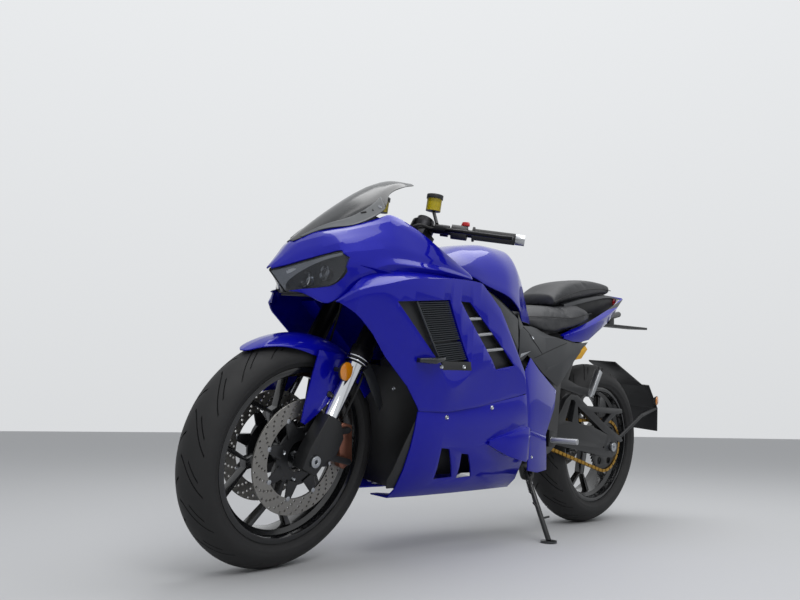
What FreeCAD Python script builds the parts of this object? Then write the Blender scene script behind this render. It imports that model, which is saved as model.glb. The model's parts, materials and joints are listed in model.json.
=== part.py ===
import FreeCAD, Part
import math
import os

# A sport bike of the electric kind, parked on its side stand with the front wheel turned a little left.
# It is drawn upright in millimetres, with +X forward, +Y to the rider's left and +Z up,
# and x = 0 at the rear axle. At the end every body is leaned on to the stand and set on the floor.

Vec = FreeCAD.Vector

# Wheels and steering geometry
WHEELBASE = 1405.0
FRONT_TYRE_RADIUS = 298.0
FRONT_TYRE_WIDTH = 118.0
REAR_TYRE_RADIUS = 314.0
REAR_TYRE_WIDTH = 158.0
BEAD_RADIUS = 219.0
TYRE_SEAT_GAP = 0.3
TYRE_STEPS = 60
RIM_FLANGE = 6.0
RAKE_DEG = 24.5
YOKE_OFFSET = 30.0
LEG_SPACING = 200.0
STEER_REST_DEG = 8.7
STEER_LOCK_DEG = 20.0

# Parking pose
LEAN_DEG = 8.15
STAND_FOOT_RADIUS = 26.0
STAND_FOOT_THICKNESS = 7.0

# Panels and clearances
PANEL = 4.0
PANEL_GAP = 1.0
RUN_GAP = 0.05
SEAT_GAP = 0.3

# Brakes
DISC_RADIUS = 148.0
DISC_INNER_RADIUS = 106.0
DISC_THICKNESS = 5.0
DISC_OFFSET = 66.0
HOLE_ROWS = ((0.24, 0.0), (0.50, 0.33), (0.76, 0.66))
HOLE_COUNT = 12
HOLE_RADIUS = 4.2
REAR_DISC_RADIUS = 110.0
REAR_DISC_OFFSET = 86.0

# Chain drive
CHAIN_PITCH = 12.7
SPROCKET_TEETH = 48
DRIVE_TEETH = 15
CHAIN_OFFSET = 94.0
CHAIN_LINKS = 112
DRIVE_X = 520.0
DRIVE_Z = 377.0

REAR_AXLE_RADIUS = 10.0
FRONT_AXLE_RADIUS = 10.0

rake = math.radians(RAKE_DEG)
UP_AXIS = Vec(-math.sin(rake), 0, math.cos(rake))
FORWARD_OF_AXIS = Vec(math.cos(rake), 0, math.sin(rake))
FRONT_AXLE = Vec(WHEELBASE, 0, FRONT_TYRE_RADIUS)
REAR_AXLE = Vec(0, 0, REAR_TYRE_RADIUS)
STEER_POINT = FRONT_AXLE - FORWARD_OF_AXIS * YOKE_OFFSET
LEG_Y = LEG_SPACING / 2
Y_AXIS = Vec(0, 1, 0)


# Small modelling helpers

def polygon(points):
    return Part.makePolygon([Vec(*p) for p in points] + [Vec(*points[0])])


def prism(points, direction):
    return Part.Face(polygon(points)).extrude(Vec(*direction))


def side_prism(outline, y_low, y_high):
    """A plate cut to an outline of (x, z) points, between two values of y."""
    return prism([(x, y_low, z) for x, z in outline], (0, y_high - y_low, 0))


def triangle(a, b, c):
    return Part.Face(Part.makePolygon([a, b, c, a]))


def loft(sections):
    """A closed solid with flat facets between sections that all have as many points."""
    faces = [Part.Face(polygon(sections[0])), Part.Face(polygon(sections[-1]))]
    for low, high in zip(sections, sections[1:]):
        for i in range(len(low)):
            j = (i + 1) % len(low)
            a, b, c, d = Vec(*low[i]), Vec(*low[j]), Vec(*high[j]), Vec(*high[i])
            if (c - a).Length < (d - b).Length:
                corners = (a, b, c), (a, c, d)
            else:
                corners = (a, b, d), (b, c, d)
            for p, q, r in corners:
                if (q - p).cross(r - p).Length > 1e-6:
                    faces.append(triangle(p, q, r))
    shell = Part.makeShell(faces)
    shell.sewShape()
    solid = Part.makeSolid(shell)
    if solid.Volume < 0:
        solid.reverse()
    return solid


def largest(shape):
    return max(shape.Solids, key=lambda solid: solid.Volume)


def bar(a, b, radius):
    a, b = Vec(*a), Vec(*b)
    return Part.makeCylinder(radius, (b - a).Length, a, b - a)


def cross_tube(centre, radius, y_low, y_high):
    return bar((centre[0], y_low, centre[1]), (centre[0], y_high, centre[1]), radius)


def bent_bar(points, radius):
    """Straight bars joined by balls, for a welded or bent tube."""
    solid = bar(points[0], points[1], radius)
    for a, b in zip(points[1:], points[2:]):
        solid = solid.fuse(Part.makeSphere(radius, Vec(*a))).fuse(bar(a, b, radius))
    return solid


def fuse(shapes):
    first = shapes[0]
    return first.fuse(shapes[1:]).removeSplitter() if len(shapes) > 1 else first


def mirrored(shape):
    return shape.mirror(Vec(0, 0, 0), Y_AXIS)


def pair(shape):
    """The left piece and its right twin, as separate solids."""
    return Part.makeCompound(list(shape.Solids) + list(mirrored(shape).Solids))


def both(shape):
    """The left half and its mirror image, joined."""
    return shape.fuse(mirrored(shape)).removeSplitter()


def revolve_about_y(profile, centre):
    """A ring turned from (y, radius) points about an axle at centre."""
    points = [Vec(centre.x, y, centre.z + r) for y, r in profile]
    face = Part.Face(Part.makePolygon(points + [points[0]]))
    return face.revolve(centre, Y_AXIS, 360)


def ring(centre, outer, inner, y_low, y_high):
    solid = Part.makeCylinder(outer, y_high - y_low, Vec(centre.x, y_low, centre.z), Y_AXIS)
    if inner:
        solid = solid.cut(Part.makeCylinder(inner, y_high - y_low, Vec(centre.x, y_low, centre.z), Y_AXIS))
    return solid


def offset_line(line, wall):
    """The (y, z) line moved inwards by a wall, with mitred corners. The line runs from top to bottom."""
    normals = []
    for (y0, z0), (y1, z1) in zip(line, line[1:]):
        length = math.hypot(y1 - y0, z1 - z0)
        normals.append(((z1 - z0) / length, -(y1 - y0) / length))
    moved = []
    for i, (y, z) in enumerate(line):
        before = normals[max(i - 1, 0)]
        after = normals[min(i, len(normals) - 1)]
        ny, nz = before[0] + after[0], before[1] + after[1]
        scale = wall / max(0.35, (ny * ny + nz * nz) / 2)
        moved.append((y + ny * scale, z + nz * scale))
    return moved


def skin(stations, wall):
    """A panel of even wall, lofted through stations of x and an outer (y, z) line from top to bottom."""
    sections = []
    for x, line in stations:
        inner = offset_line(line, wall)
        sections.append([(x, y, z) for y, z in line] + [(x, y, z) for y, z in reversed(inner)])
    return loft(sections)


def symmetric_sections(stations):
    """Closed sections across the bike, from stations of x and a (y, z) half line from top centre to bottom centre."""
    return [[(x, y, z) for y, z in half] + [(x, -y, z) for y, z in reversed(half) if y > 0] for x, half in stations]


# Wheels

def crown_radius(width):
    """Radius of the crown's arc across the tyre, which runs from shoulder to shoulder."""
    half = width / 2
    rise = half * 0.62 + 6
    return (half * half + rise * rise) / (2 * rise)


def faceted_ring(profile, centre, steps, start_deg, snug):
    """A ring of flat facets turned from (y, radius) points, with a corner line at start_deg about the axle.

    Points at a radius up to snug are moved out, so that the middles of their facets keep that radius.
    """
    rows = []
    for i in range(steps):
        angle = math.radians(start_deg + 360.0 * i / steps)
        row = []
        for y, r in profile:
            if r <= snug:
                r /= math.cos(math.pi / steps)
            row.append(Vec(centre.x + r * math.cos(angle), y, centre.z + r * math.sin(angle)))
        rows.append(row)
    faces = []
    for low, high in zip(rows, rows[1:] + rows[:1]):
        for i in range(len(low)):
            j = (i + 1) % len(low)
            faces.append(Part.Face(Part.makePolygon([low[i], low[j], high[j], high[i], low[i]])))
    shell = Part.makeShell(faces)
    shell.sewShape()
    solid = Part.makeSolid(shell)
    if solid.Volume < 0:
        solid.reverse()
    return solid


def tyre(centre, radius, width, contact_deg, floor_deg):
    """A tyre on its rim: round crown with a facet edge where it meets the floor, bulging walls and beads."""
    half = width / 2
    shoulder = radius - half * 0.62
    seat = BEAD_RADIUS + TYRE_SEAT_GAP
    crown = crown_radius(width)
    side = []
    for a in (contact_deg, 40.0):
        a = math.radians(a)
        side.append((crown * math.sin(a), radius - crown + crown * math.cos(a)))
    bead = BEAD_RADIUS + RIM_FLANGE + TYRE_SEAT_GAP
    side += [(half, shoulder - 6), (half - 1.5, (shoulder + seat) / 2), (half * 0.72 + 4, bead), (half * 0.72, bead)]
    side.append((half * 0.72, seat))
    return faceted_ring(side + [(-y, r) for y, r in reversed(side)], centre, TYRE_STEPS, floor_deg, bead)


def rim(centre, width, hub_radius, hub_half, bore, spoke_count, disc_bolt_radius):
    """A cast wheel: well rim with flanges, hub and spokes that fork at the rim."""
    half = width / 2
    flange, barrel, wall = BEAD_RADIUS + RIM_FLANGE, BEAD_RADIUS - 16, 5.0
    flange_gap = TYRE_SEAT_GAP
    well = [
        (-half - wall, flange), (-half - flange_gap, flange), (-half - flange_gap, BEAD_RADIUS),
        (-half * 0.55, BEAD_RADIUS - 2), (-half * 0.4, barrel), (half * 0.4, barrel), (half * 0.55, BEAD_RADIUS - 2),
        (half + flange_gap, BEAD_RADIUS), (half + flange_gap, flange), (half + wall, flange),
        (half + wall, BEAD_RADIUS - 8), (half * 0.6, BEAD_RADIUS - 9), (half * 0.45, barrel - wall),
        (-half * 0.45, barrel - wall), (-half * 0.6, BEAD_RADIUS - 9), (-half - wall, BEAD_RADIUS - 8),
    ]
    parts = [revolve_about_y(well, centre), ring(centre, hub_radius, 0, -hub_half, hub_half)]
    fork_radius, root_half, arm_half, spoke_half = 128.0, 13.0, 8.0, 13.0
    reach = barrel - wall / 2
    for i in range(spoke_count):
        stem = prism([(hub_radius - 8, -spoke_half, -root_half * 1.3), (hub_radius - 8, -spoke_half, root_half * 1.3),
                      (fork_radius, -spoke_half, root_half), (fork_radius, -spoke_half, -root_half)],
                     (0, 2 * spoke_half, 0))
        pieces = [stem]
        for side in (1, -1):
            tip = math.radians(19) * side
            tip_x, tip_z = reach * math.cos(tip), reach * math.sin(tip)
            pieces.append(prism([
                (fork_radius - 16, -spoke_half + 2, side * (root_half - 2 * arm_half)),
                (fork_radius - 6, -spoke_half + 2, side * root_half),
                (tip_x, -spoke_half + 2, tip_z + side * arm_half), (tip_x + 3, -spoke_half + 2, tip_z - side * arm_half),
            ], (0, 2 * spoke_half - 4, 0)))
        spoke = fuse(pieces)
        spoke.rotate(Vec(0, 0, 0), Y_AXIS, 360.0 * i / spoke_count + 12)
        spoke.translate(centre)
        parts.append(spoke)
    solid = fuse(parts)
    solid = solid.cut(Part.makeCylinder(bore, 2 * hub_half + 2, centre - Y_AXIS * (hub_half + 1), Y_AXIS))
    return solid


def brake_disc(centre, outer, inner, offset, bolt_radius, side, hub_face, hub_radius):
    """A drilled ring on a carrier with arms, seated on the hub."""
    y_low, y_high = sorted((side * offset - DISC_THICKNESS / 2, side * offset + DISC_THICKNESS / 2))
    band = ring(centre, outer, inner, y_low, y_high)
    holes = []
    for share, phase in HOLE_ROWS:
        r = inner + (outer - inner) * share
        for i in range(HOLE_COUNT):
            a = 2 * math.pi * (i + phase) / HOLE_COUNT
            x, z = centre.x + r * math.cos(a), centre.z + r * math.sin(a)
            corners = [(x + HOLE_RADIUS * math.cos(math.pi * k / 3), z + HOLE_RADIUS * math.sin(math.pi * k / 3))
                       for k in range(6)]
            holes.append(side_prism(corners, y_low - 1, y_high + 1))
    band = band.cut(Part.makeCompound(holes))
    plate_low, plate_high = sorted((side * (offset - 2.0), side * (offset + 2.0)))
    carrier = ring(centre, bolt_radius + 14, bolt_radius - 22, plate_low, plate_high)
    arms = 6
    arm = prism([(bolt_radius, plate_low, -9), (bolt_radius, plate_low, 9), (inner + 6, plate_low, 7),
                 (inner + 6, plate_low, -7)], (0, plate_high - plate_low, 0))
    parts = [band, carrier]
    for i in range(arms):
        copy = arm.copy()
        copy.rotate(Vec(0, 0, 0), Y_AXIS, 360.0 * i / arms)
        copy.translate(centre)
        parts.append(copy)
    seat_low, seat_high = sorted((side * (hub_face + SEAT_GAP), side * offset))
    parts.append(ring(centre, bolt_radius - 6, hub_radius - 10, seat_low, seat_high))
    return fuse(parts)


def front_axle_set():
    """The front spindle with its nut, through both fork feet."""
    reach = LEG_Y + FOOT_HALF + SEAT_GAP
    spindle = ring(FRONT_AXLE, FRONT_AXLE_RADIUS, 5, -reach, reach)
    head = ring(FRONT_AXLE, 15, 5, reach, reach + 6)
    return fuse([spindle, head, mirrored(head)])


# Chain drive

def chain_path():
    """Centres and directions of the pins round both sprockets, evenly spaced."""
    rear_r = SPROCKET_TEETH * CHAIN_PITCH / (2 * math.pi)
    drive_r = DRIVE_TEETH * CHAIN_PITCH / (2 * math.pi)
    dx, dz = DRIVE_X, DRIVE_Z - REAR_TYRE_RADIUS
    distance = math.hypot(dx, dz)
    line_angle = math.atan2(dz, dx)
    spread = math.asin((rear_r - drive_r) / distance)
    run = math.sqrt(distance ** 2 - (rear_r - drive_r) ** 2)
    rear_wrap = rear_r * (math.pi + 2 * spread)
    drive_wrap = drive_r * (math.pi - 2 * spread)
    total = 2 * run + rear_wrap + drive_wrap
    top = line_angle + math.pi / 2 - spread
    bottom = line_angle - math.pi / 2 + spread

    def at(s):
        s = s % total
        if s < run:
            x, z = rear_r * math.cos(top), REAR_TYRE_RADIUS + rear_r * math.sin(top)
            return x + s * math.cos(top - math.pi / 2), z + s * math.sin(top - math.pi / 2)
        s -= run
        if s < drive_wrap:
            a = top - s / drive_r
            return DRIVE_X + drive_r * math.cos(a), DRIVE_Z + drive_r * math.sin(a)
        s -= drive_wrap
        if s < run:
            x, z = DRIVE_X + drive_r * math.cos(bottom), DRIVE_Z + drive_r * math.sin(bottom)
            return x + s * math.cos(bottom - math.pi / 2), z + s * math.sin(bottom - math.pi / 2)
        s -= run
        a = bottom - s / rear_r
        return rear_r * math.cos(a), REAR_TYRE_RADIUS + rear_r * math.sin(a)

    return [at(total * i / CHAIN_LINKS) for i in range(CHAIN_LINKS)]


def chain():
    """Inner and outer link plates, on both sides of the sprocket teeth."""
    pins = chain_path()
    plate_half, nose, plate_wall = 5.6, 4.2, 1.6
    inner_face, outer_face = 3.8, 6.3
    links = []
    for i, (x0, z0) in enumerate(pins):
        x1, z1 = pins[(i + 1) % len(pins)]
        length = math.hypot(x1 - x0, z1 - z0)
        ux, uz = (x1 - x0) / length, (z1 - z0) / length
        outer_link = i % 2 == 0
        height = plate_half if outer_link else plate_half * 0.8
        shape = [(-nose, height), (length + nose, height), (length + nose, -height), (-nose, -height)]
        face = outer_face if outer_link else inner_face
        for side in (1, -1):
            y = CHAIN_OFFSET + side * face
            outline = [(x0 + a * ux - b * uz, y, z0 + a * uz + b * ux) for a, b in shape]
            links.append(prism(outline, (0, side * plate_wall, 0)))
    return Part.makeCompound(links)


def toothed_wheel(centre, teeth, thickness, offset, bore):
    """A flat sprocket with straight-sided teeth."""
    pitch_r = teeth * CHAIN_PITCH / (2 * math.pi)
    root, tip = pitch_r - 4.4, pitch_r + 3.6
    points = []
    for i in range(teeth):
        for share, r in ((-0.36, root), (-0.13, tip), (0.13, tip), (0.36, root)):
            a = 2 * math.pi * (i + share) / teeth
            points.append((centre.x + r * math.cos(a), offset - thickness / 2, centre.z + r * math.sin(a)))
    wheel = prism(points, (0, thickness, 0))
    return wheel.cut(Part.makeCylinder(bore, thickness + 2, Vec(centre.x, offset - thickness / 2 - 1, centre.z), Y_AXIS))


def rear_sprocket():
    """Sprocket with windows and the carrier that seats it on the hub."""
    wheel = toothed_wheel(REAR_AXLE, SPROCKET_TEETH, 6.0, CHAIN_OFFSET, 28)
    windows = []
    for i in range(6):
        a = math.radians(60 * i)
        windows.append(Part.makeCylinder(14, 10, Vec(68 * math.cos(a), CHAIN_OFFSET - 5,
                                                     REAR_TYRE_RADIUS + 68 * math.sin(a)), Y_AXIS))
    wheel = wheel.cut(Part.makeCompound(windows))
    carrier = ring(REAR_AXLE, 48, 28, REAR_HUB_HALF + SEAT_GAP, CHAIN_OFFSET + 1)
    return wheel.fuse(carrier).removeSplitter()


REAR_HUB_HALF = 62.0
FRONT_HUB_HALF = 52.0
FRONT_HUB_RADIUS, REAR_HUB_RADIUS = 36.0, 44.0


# Front fork and bars, drawn straight ahead

def on_leg(t, side=1, forward=0.0, out=0.0):
    """A point t along the fork leg from the axle, moved forward of it or outwards."""
    p = FRONT_AXLE + UP_AXIS * t + FORWARD_OF_AXIS * forward
    return Vec(p.x, side * (LEG_Y + out), p.z)


FOOT_HALF = 21.0
COLLAR_LOW, COLLAR_HIGH = 272.0, 318.0
CASTING_TOP = 118.0
LOWER_YOKE, UPPER_YOKE = 540.0, 692.0
BAR_CLAMP_RISE = 32.0
BAR_CLAMP_T = UPPER_YOKE + BAR_CLAMP_RISE
LEG_TOP = BAR_CLAMP_T + 28.0
SLIDER_RADIUS, TUBE_RADIUS = 20.5, 27.0
HALF_TOP = 30.0


def leg_bar(t0, t1, radius, side=1):
    return bar(tuple(on_leg(t0, side)), tuple(on_leg(t1, side)), radius)


CALIPER_HALF = 22.0
CALIPER_LUGS = [
    # from the foot to the boss behind the caliper, x and z from the axle
    (-40, 62, -124, 72),
    (-45, 8, -142, -14),
]


def fork_leg():
    """An upside-down leg: wide tube above, collar, bright slider, and a cast foot with the axle clamp."""
    foot_outline = [(-24, -30), (26, -30), (32, 18), (24, CASTING_TOP), (-24, CASTING_TOP), (-58, 86), (-60, 40), (-34, 10)]
    points = []
    for forward, t in foot_outline:
        p = FRONT_AXLE + UP_AXIS * t + FORWARD_OF_AXIS * forward
        points.append((p.x, LEG_Y - FOOT_HALF, p.z))
    foot = prism(points, (0, 2 * FOOT_HALF, 0))
    foot = foot.cut(ring(FRONT_AXLE, FRONT_AXLE_RADIUS + RUN_GAP, 0, 0, LEG_Y + 60))
    for x0, z0, x1, z1 in CALIPER_LUGS:
        length = math.hypot(x1 - x0, z1 - z0)
        ux, uz = (x1 - x0) / length * 8, (z1 - z0) / length * 8
        outline = [(x0 - uz, z0 + ux), (x0 + uz, z0 - ux), (x1 + uz, z1 - ux), (x1 + ux, z1 + uz), (x1 - uz, z1 + ux)]
        outline = [(FRONT_AXLE.x + x, FRONT_AXLE.z + z) for x, z in outline]
        foot = foot.fuse(side_prism(outline, CALIPER_HALF + DISC_OFFSET + SEAT_GAP, LEG_Y + 4))
    parts = [
        foot,
        leg_bar(CASTING_TOP - 12, COLLAR_LOW + 8, SLIDER_RADIUS),
        leg_bar(COLLAR_LOW, COLLAR_HIGH, TUBE_RADIUS + 3.5),
        leg_bar(COLLAR_HIGH - 5, LEG_TOP, TUBE_RADIUS),
    ]
    return fuse(parts)


def yokes():
    """Lower and upper yokes with the stem between them."""
    stem_a = STEER_POINT + UP_AXIS * (LOWER_YOKE - 22)
    stem_b = STEER_POINT + UP_AXIS * (UPPER_YOKE + HALF_TOP - 4)
    stem = bar(tuple(stem_a), tuple(stem_b), 15)
    parts = [stem]
    for t, thick in ((LOWER_YOKE, 30.0), (UPPER_YOKE, 24.0)):
        base = STEER_POINT + UP_AXIS * (t - thick / 2)

        def at(forward, y):
            p = base + FORWARD_OF_AXIS * forward
            return (p.x, y, p.z)

        front = YOKE_OFFSET + TUBE_RADIUS + 11
        back = YOKE_OFFSET - TUBE_RADIUS - 11
        side = LEG_Y + TUBE_RADIUS + 11
        half = [at(-30, 0), at(-30, 28), at(back, LEG_Y - 34), at(back, side - 12), at(back + 12, side),
                at(front - 12, side), at(front, side - 12), at(front, LEG_Y - 30), at(34, 30), at(34, 0)]
        outline = half[1:-1] + [(x, -y, z) for x, y, z in reversed(half[1:-1])]
        plate = prism(outline, tuple(UP_AXIS * thick))
        for side in (1, -1):
            p = on_leg(t - thick, side)
            q = on_leg(t + thick, side)
            parts_bore = bar(tuple(p), tuple(q), TUBE_RADIUS + RUN_GAP)
            plate = plate.cut(parts_bore)
        parts.append(plate)
    return fuse(parts)


BAR_RADIUS = 11.1
BAR_ROOT = on_leg(BAR_CLAMP_T, 1, 0, 0)
BAR_SWEEP = Vec(-0.50, 0.866, -0.01).normalize()
BAR_LENGTH = 270.0
GRIP_LENGTH = 122.0
GRIP_RADIUS = 16.5


def bar_point(s, forward=0.0, up=0.0):
    """A point s along the left clip-on bar, moved forward of it or up."""
    p = BAR_ROOT + BAR_SWEEP * s
    ahead = Vec(BAR_SWEEP.y, -BAR_SWEEP.x, 0).normalize()
    return p + ahead * forward + Vec(0, 0, up)


def clip_on():
    """Clamp round the fork tube, bar, switch housing and bar-end weight."""
    clamp = bar(tuple(on_leg(BAR_CLAMP_T - 15)), tuple(on_leg(BAR_CLAMP_T + 11)), TUBE_RADIUS + 9)
    clamp = clamp.cut(leg_bar(BAR_CLAMP_T - 30, BAR_CLAMP_T + 30, TUBE_RADIUS + RUN_GAP))
    tube = bar(tuple(bar_point(TUBE_RADIUS + 4)), tuple(bar_point(BAR_LENGTH)), BAR_RADIUS)
    end = bar(tuple(bar_point(BAR_LENGTH)), tuple(bar_point(BAR_LENGTH + 26)), GRIP_RADIUS - 1)
    return fuse([clamp, tube, end])


def switch_housing():
    a, b = bar_point(86), bar_point(132)
    case = bar(tuple(a), tuple(b), 21)
    return case.cut(bar(tuple(bar_point(60)), tuple(bar_point(160)), BAR_RADIUS + RUN_GAP))


def grip():
    start = BAR_LENGTH - GRIP_LENGTH - 1
    sleeve = bar(tuple(bar_point(start)), tuple(bar_point(start + GRIP_LENGTH)), GRIP_RADIUS)
    flange = bar(tuple(bar_point(start)), tuple(bar_point(start + 6)), GRIP_RADIUS + 5)
    hole = bar(tuple(bar_point(start - 5)), tuple(bar_point(BAR_LENGTH + 5)), BAR_RADIUS + RUN_GAP)
    return fuse([sleeve, flange]).cut(hole)


def lever_set():
    """Master cylinder clamped to the bar, its lever, and the fluid pot on a stalk."""
    s_clamp = 66.0
    clamp = bar(tuple(bar_point(s_clamp - 11)), tuple(bar_point(s_clamp + 11)), 17)
    clamp = clamp.cut(bar(tuple(bar_point(40)), tuple(bar_point(100)), BAR_RADIUS + RUN_GAP))
    block_a, block_b = bar_point(s_clamp - 26, 30, -2), bar_point(s_clamp + 18, 30, -2)
    block = bar(tuple(block_a), tuple(block_b), 13)
    neck = bar(tuple(bar_point(s_clamp, 14.5, 0)), tuple(bar_point(s_clamp, 30, -2)), 9)
    blade = bent_bar([tuple(bar_point(s_clamp + 10, 40, -4)), tuple(bar_point(s_clamp + 62, 66, -8)),
                      tuple(bar_point(BAR_LENGTH - 30, 58, -8)), tuple(bar_point(BAR_LENGTH - 6, 64, -8))], 5.5)
    return fuse([clamp, neck, block, blade])


POT_CENTRE = BAR_ROOT + Vec(-29.8, 6, 57.2)
POT_RADIUS, POT_HEIGHT, POT_CAP = 22.0, 36.0, 12.0


def fluid_pot():
    """Round fluid pot with a screw cap, held by a stalk from the master cylinder."""
    pot = Part.makeCylinder(POT_RADIUS, POT_HEIGHT, POT_CENTRE)
    cap = Part.makeCylinder(POT_RADIUS + 2.5, POT_CAP, POT_CENTRE + Vec(0, 0, POT_HEIGHT))
    stalk = bar(tuple(bar_point(46, 30, 10.5)), tuple(POT_CENTRE + Vec(0, 0, 4)), 5)
    pot_set = fuse([pot, cap, stalk])
    return pot_set.cut(bar(tuple(bar_point(40, 30, -2)), tuple(bar_point(84, 30, -2)), 13 + SEAT_GAP))


MUDGUARD_GAP = 9.0
MUDGUARD_SIDE = 56.0
MUDGUARD_EAR = [(1408, 572), (1316, 566), (1322, 512), (1338, 468), (1350, 450), (1392, 410), (1428, 384), (1441, 390),
                (1438, 430), (1426, 484)]
# How far in from the crown the mudguard's side is cut, as x and z from the axle
SKIRT_EDGE = [(190, 236), (156, 250), (94, 277), (27, 265), (-8, 253), (-8, 190), (190, 190)]


REFLECTOR_SPOT = (1347.0, 527.0)
REFLECTOR_RADIUS = 15.0
REFLECTOR_FACE = 126.0


def front_reflectors():
    """Round side reflectors on short stems from the mudguard's ears."""
    stem = cross_tube(REFLECTOR_SPOT, 7, FRONT_TYRE_WIDTH / 2 + 22.3, REFLECTOR_FACE - 8)
    lens = cross_tube(REFLECTOR_SPOT, REFLECTOR_RADIUS, REFLECTOR_FACE - 9, REFLECTOR_FACE)
    return pair(fuse([stem, lens]))


FIN_OUTLINE = [(1302, 556), (1262, 516), (1226, 470), (1186, 424), (1177, 442), (1200, 488), (1238, 536), (1280, 574)]
FIN_FACE = 111.0


def fork_fins():
    """A curved deflector behind each fork leg, clipped on the wide tube."""
    plate = side_prism(FIN_OUTLINE, FIN_FACE, FIN_FACE + 3)
    clip = bar(tuple(on_leg(COLLAR_HIGH + 6)), tuple(on_leg(COLLAR_HIGH + 26)), TUBE_RADIUS + 4)
    clip = clip.common(side_prism([(1150, 400), (1296, 400), (1296, 700), (1150, 700)], LEG_Y + 4, 140))
    fin = fuse([plate, clip])
    fin = fin.cut(leg_bar(COLLAR_LOW - 60, COLLAR_HIGH + 60, TUBE_RADIUS + SEAT_GAP))
    return pair(largest(fin.cut(leg_bar(COLLAR_LOW - 1, COLLAR_HIGH + 1, TUBE_RADIUS + 3.5 + SEAT_GAP))))


HOSE_RADIUS = 3.5


def hose(points, radius, bend):
    """A hose of straight runs and round bends through the points."""
    points = [Vec(*p) for p in points]
    parts = []
    start = points[0]
    for before, corner, after in zip(points, points[1:], points[2:]):
        u = (corner - before).normalize()
        v = (after - corner).normalize()
        turn = u.getAngle(v)
        reach = min(bend * math.tan(turn / 2), 0.45 * min((corner - before).Length, (after - corner).Length))
        r = reach / math.tan(turn / 2)
        a = corner - u * reach
        axis = u.cross(v).normalize()
        centre = a + axis.cross(u) * r
        parts.append(Part.makeCylinder(radius, (a - start).Length, start, u))
        circle = Part.Face(Part.Wire(Part.makeCircle(radius, a, u)))
        parts.append(circle.revolve(centre, axis, math.degrees(turn)))
        start = corner + v * reach
    parts.append(Part.makeCylinder(radius, (points[-1] - start).Length, start, points[-1] - start))
    return fuse(parts)


def brake_hoses():
    """From each master cylinder in front of the leg, inside the fork and down behind it to the caliper."""
    front = YOKE_OFFSET + TUBE_RADIUS - 5
    route = [bar_point(38, 30, -2), bar_point(29, 34, -3), on_leg(UPPER_YOKE + 8, 1, front + 2, 30),
             on_leg(UPPER_YOKE - 52, 1, front, -30), on_leg(LOWER_YOKE - 10, 1, front - 2, -42),
             on_leg(LOWER_YOKE - 110, 1, 4, -42), on_leg(345, 1, -44, -12), on_leg(220, 1, -48, -2), HOSE_END]
    return pair(hose(route, HOSE_RADIUS, 30))


HOSE_END = FRONT_AXLE + Vec(-118, DISC_OFFSET + 14, 101)


def front_mudguard():
    """A crowned arch over the tyre with side ears that reach down the front of each leg."""
    inner_r = FRONT_TYRE_RADIUS + MUDGUARD_GAP
    half = FRONT_TYRE_WIDTH / 2 + 9
    wall = PANEL - 1

    def sector(grow, floor, start, sweep):
        crown = inner_r + grow
        edge = half + grow
        profile = [(-edge, inner_r - MUDGUARD_SIDE), (-edge * 0.96, crown - 30), (-edge * 0.6, crown - 8), (0, crown),
                   (edge * 0.6, crown - 8), (edge * 0.96, crown - 30), (edge, inner_r - MUDGUARD_SIDE)]
        if floor:
            profile += [(edge, floor), (-edge, floor)]
        points = [Vec(FRONT_AXLE.x, y, FRONT_AXLE.z + r) for y, r in profile]
        face = Part.Face(Part.makePolygon(points + [points[0]]))
        face.rotate(FRONT_AXLE, Y_AXIS, start)
        return face.revolve(FRONT_AXLE, Y_AXIS, sweep)

    start, sweep = 36.0, -88.0
    outer = sector(wall, 0, start, sweep)
    inner = sector(0, inner_r - MUDGUARD_SIDE - 40, start + 3, sweep - 6)
    shell = outer.cut(inner)
    tip = side_prism([(FRONT_AXLE.x + 120, 800), (FRONT_AXLE.x + 400, 800), (FRONT_AXLE.x + 400, 300),
                      (FRONT_AXLE.x + 214, 300), (FRONT_AXLE.x + 158, FRONT_AXLE.z + 256)], 14, 200)
    skirt = side_prism([(FRONT_AXLE.x + x, FRONT_AXLE.z + z) for x, z in SKIRT_EDGE], 14, 200)
    shell = shell.cut(tip).cut(mirrored(tip)).cut(skirt).cut(mirrored(skirt))
    fold = [(half + 12, 590), (half + 12, 545), (half + 14, 500), (half + 17, 470), (half + 21, 436), (half + 22, 376)]
    ear = skin([(1320, fold), (1480, fold)], 4.0).common(side_prism(MUDGUARD_EAR, 0, 200))
    slider = leg_bar(60, COLLAR_LOW + 20, SLIDER_RADIUS + SEAT_GAP)
    foot = leg_bar(-20, CASTING_TOP, 32)
    ear = ear.cut(slider).cut(foot)
    return fuse([shell, ear, mirrored(ear)])


def caliper(centre, disc_radius, offset, angle_deg, side, half_width=CALIPER_HALF):
    """A four-pot caliper: two halves over the disc, joined by a bridge."""
    half_len, depth, half_w = 64.0, 40.0, half_width
    gap = DISC_THICKNESS / 2 + 1.5
    r_in = disc_radius - 34
    body = prism([(r_in, -half_w, -half_len + 10), (r_in, -half_w, half_len - 10), (r_in + 14, -half_w, half_len),
                  (r_in + depth + 6, -half_w, half_len - 14), (r_in + depth + 6, -half_w, -half_len + 14),
                  (r_in + 14, -half_w, -half_len)], (0, 2 * half_w, 0))
    slot = Part.makeCylinder(disc_radius + 4, 2 * gap, Vec(0, -gap, 0), Y_AXIS)
    body = body.cut(slot)
    body.rotate(Vec(0, 0, 0), Y_AXIS, angle_deg)
    body.translate(centre + Vec(0, side * offset, 0))
    return body


def rear_caliper():
    """The rear caliper with the boss that bolts it to the swing arm."""
    body = caliper(REAR_AXLE, REAR_DISC_RADIUS, REAR_DISC_OFFSET, REAR_CALIPER_DEG, -1, REAR_CALIPER_HALF)
    a = math.radians(REAR_CALIPER_DEG)
    spot = (98 * math.cos(a), REAR_TYRE_RADIUS - 98 * math.sin(a))
    boss = cross_tube(spot, 12, -ARM_INNER + SEAT_GAP, -REAR_DISC_OFFSET - REAR_CALIPER_HALF + 4)
    return fuse([body, boss])


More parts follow.
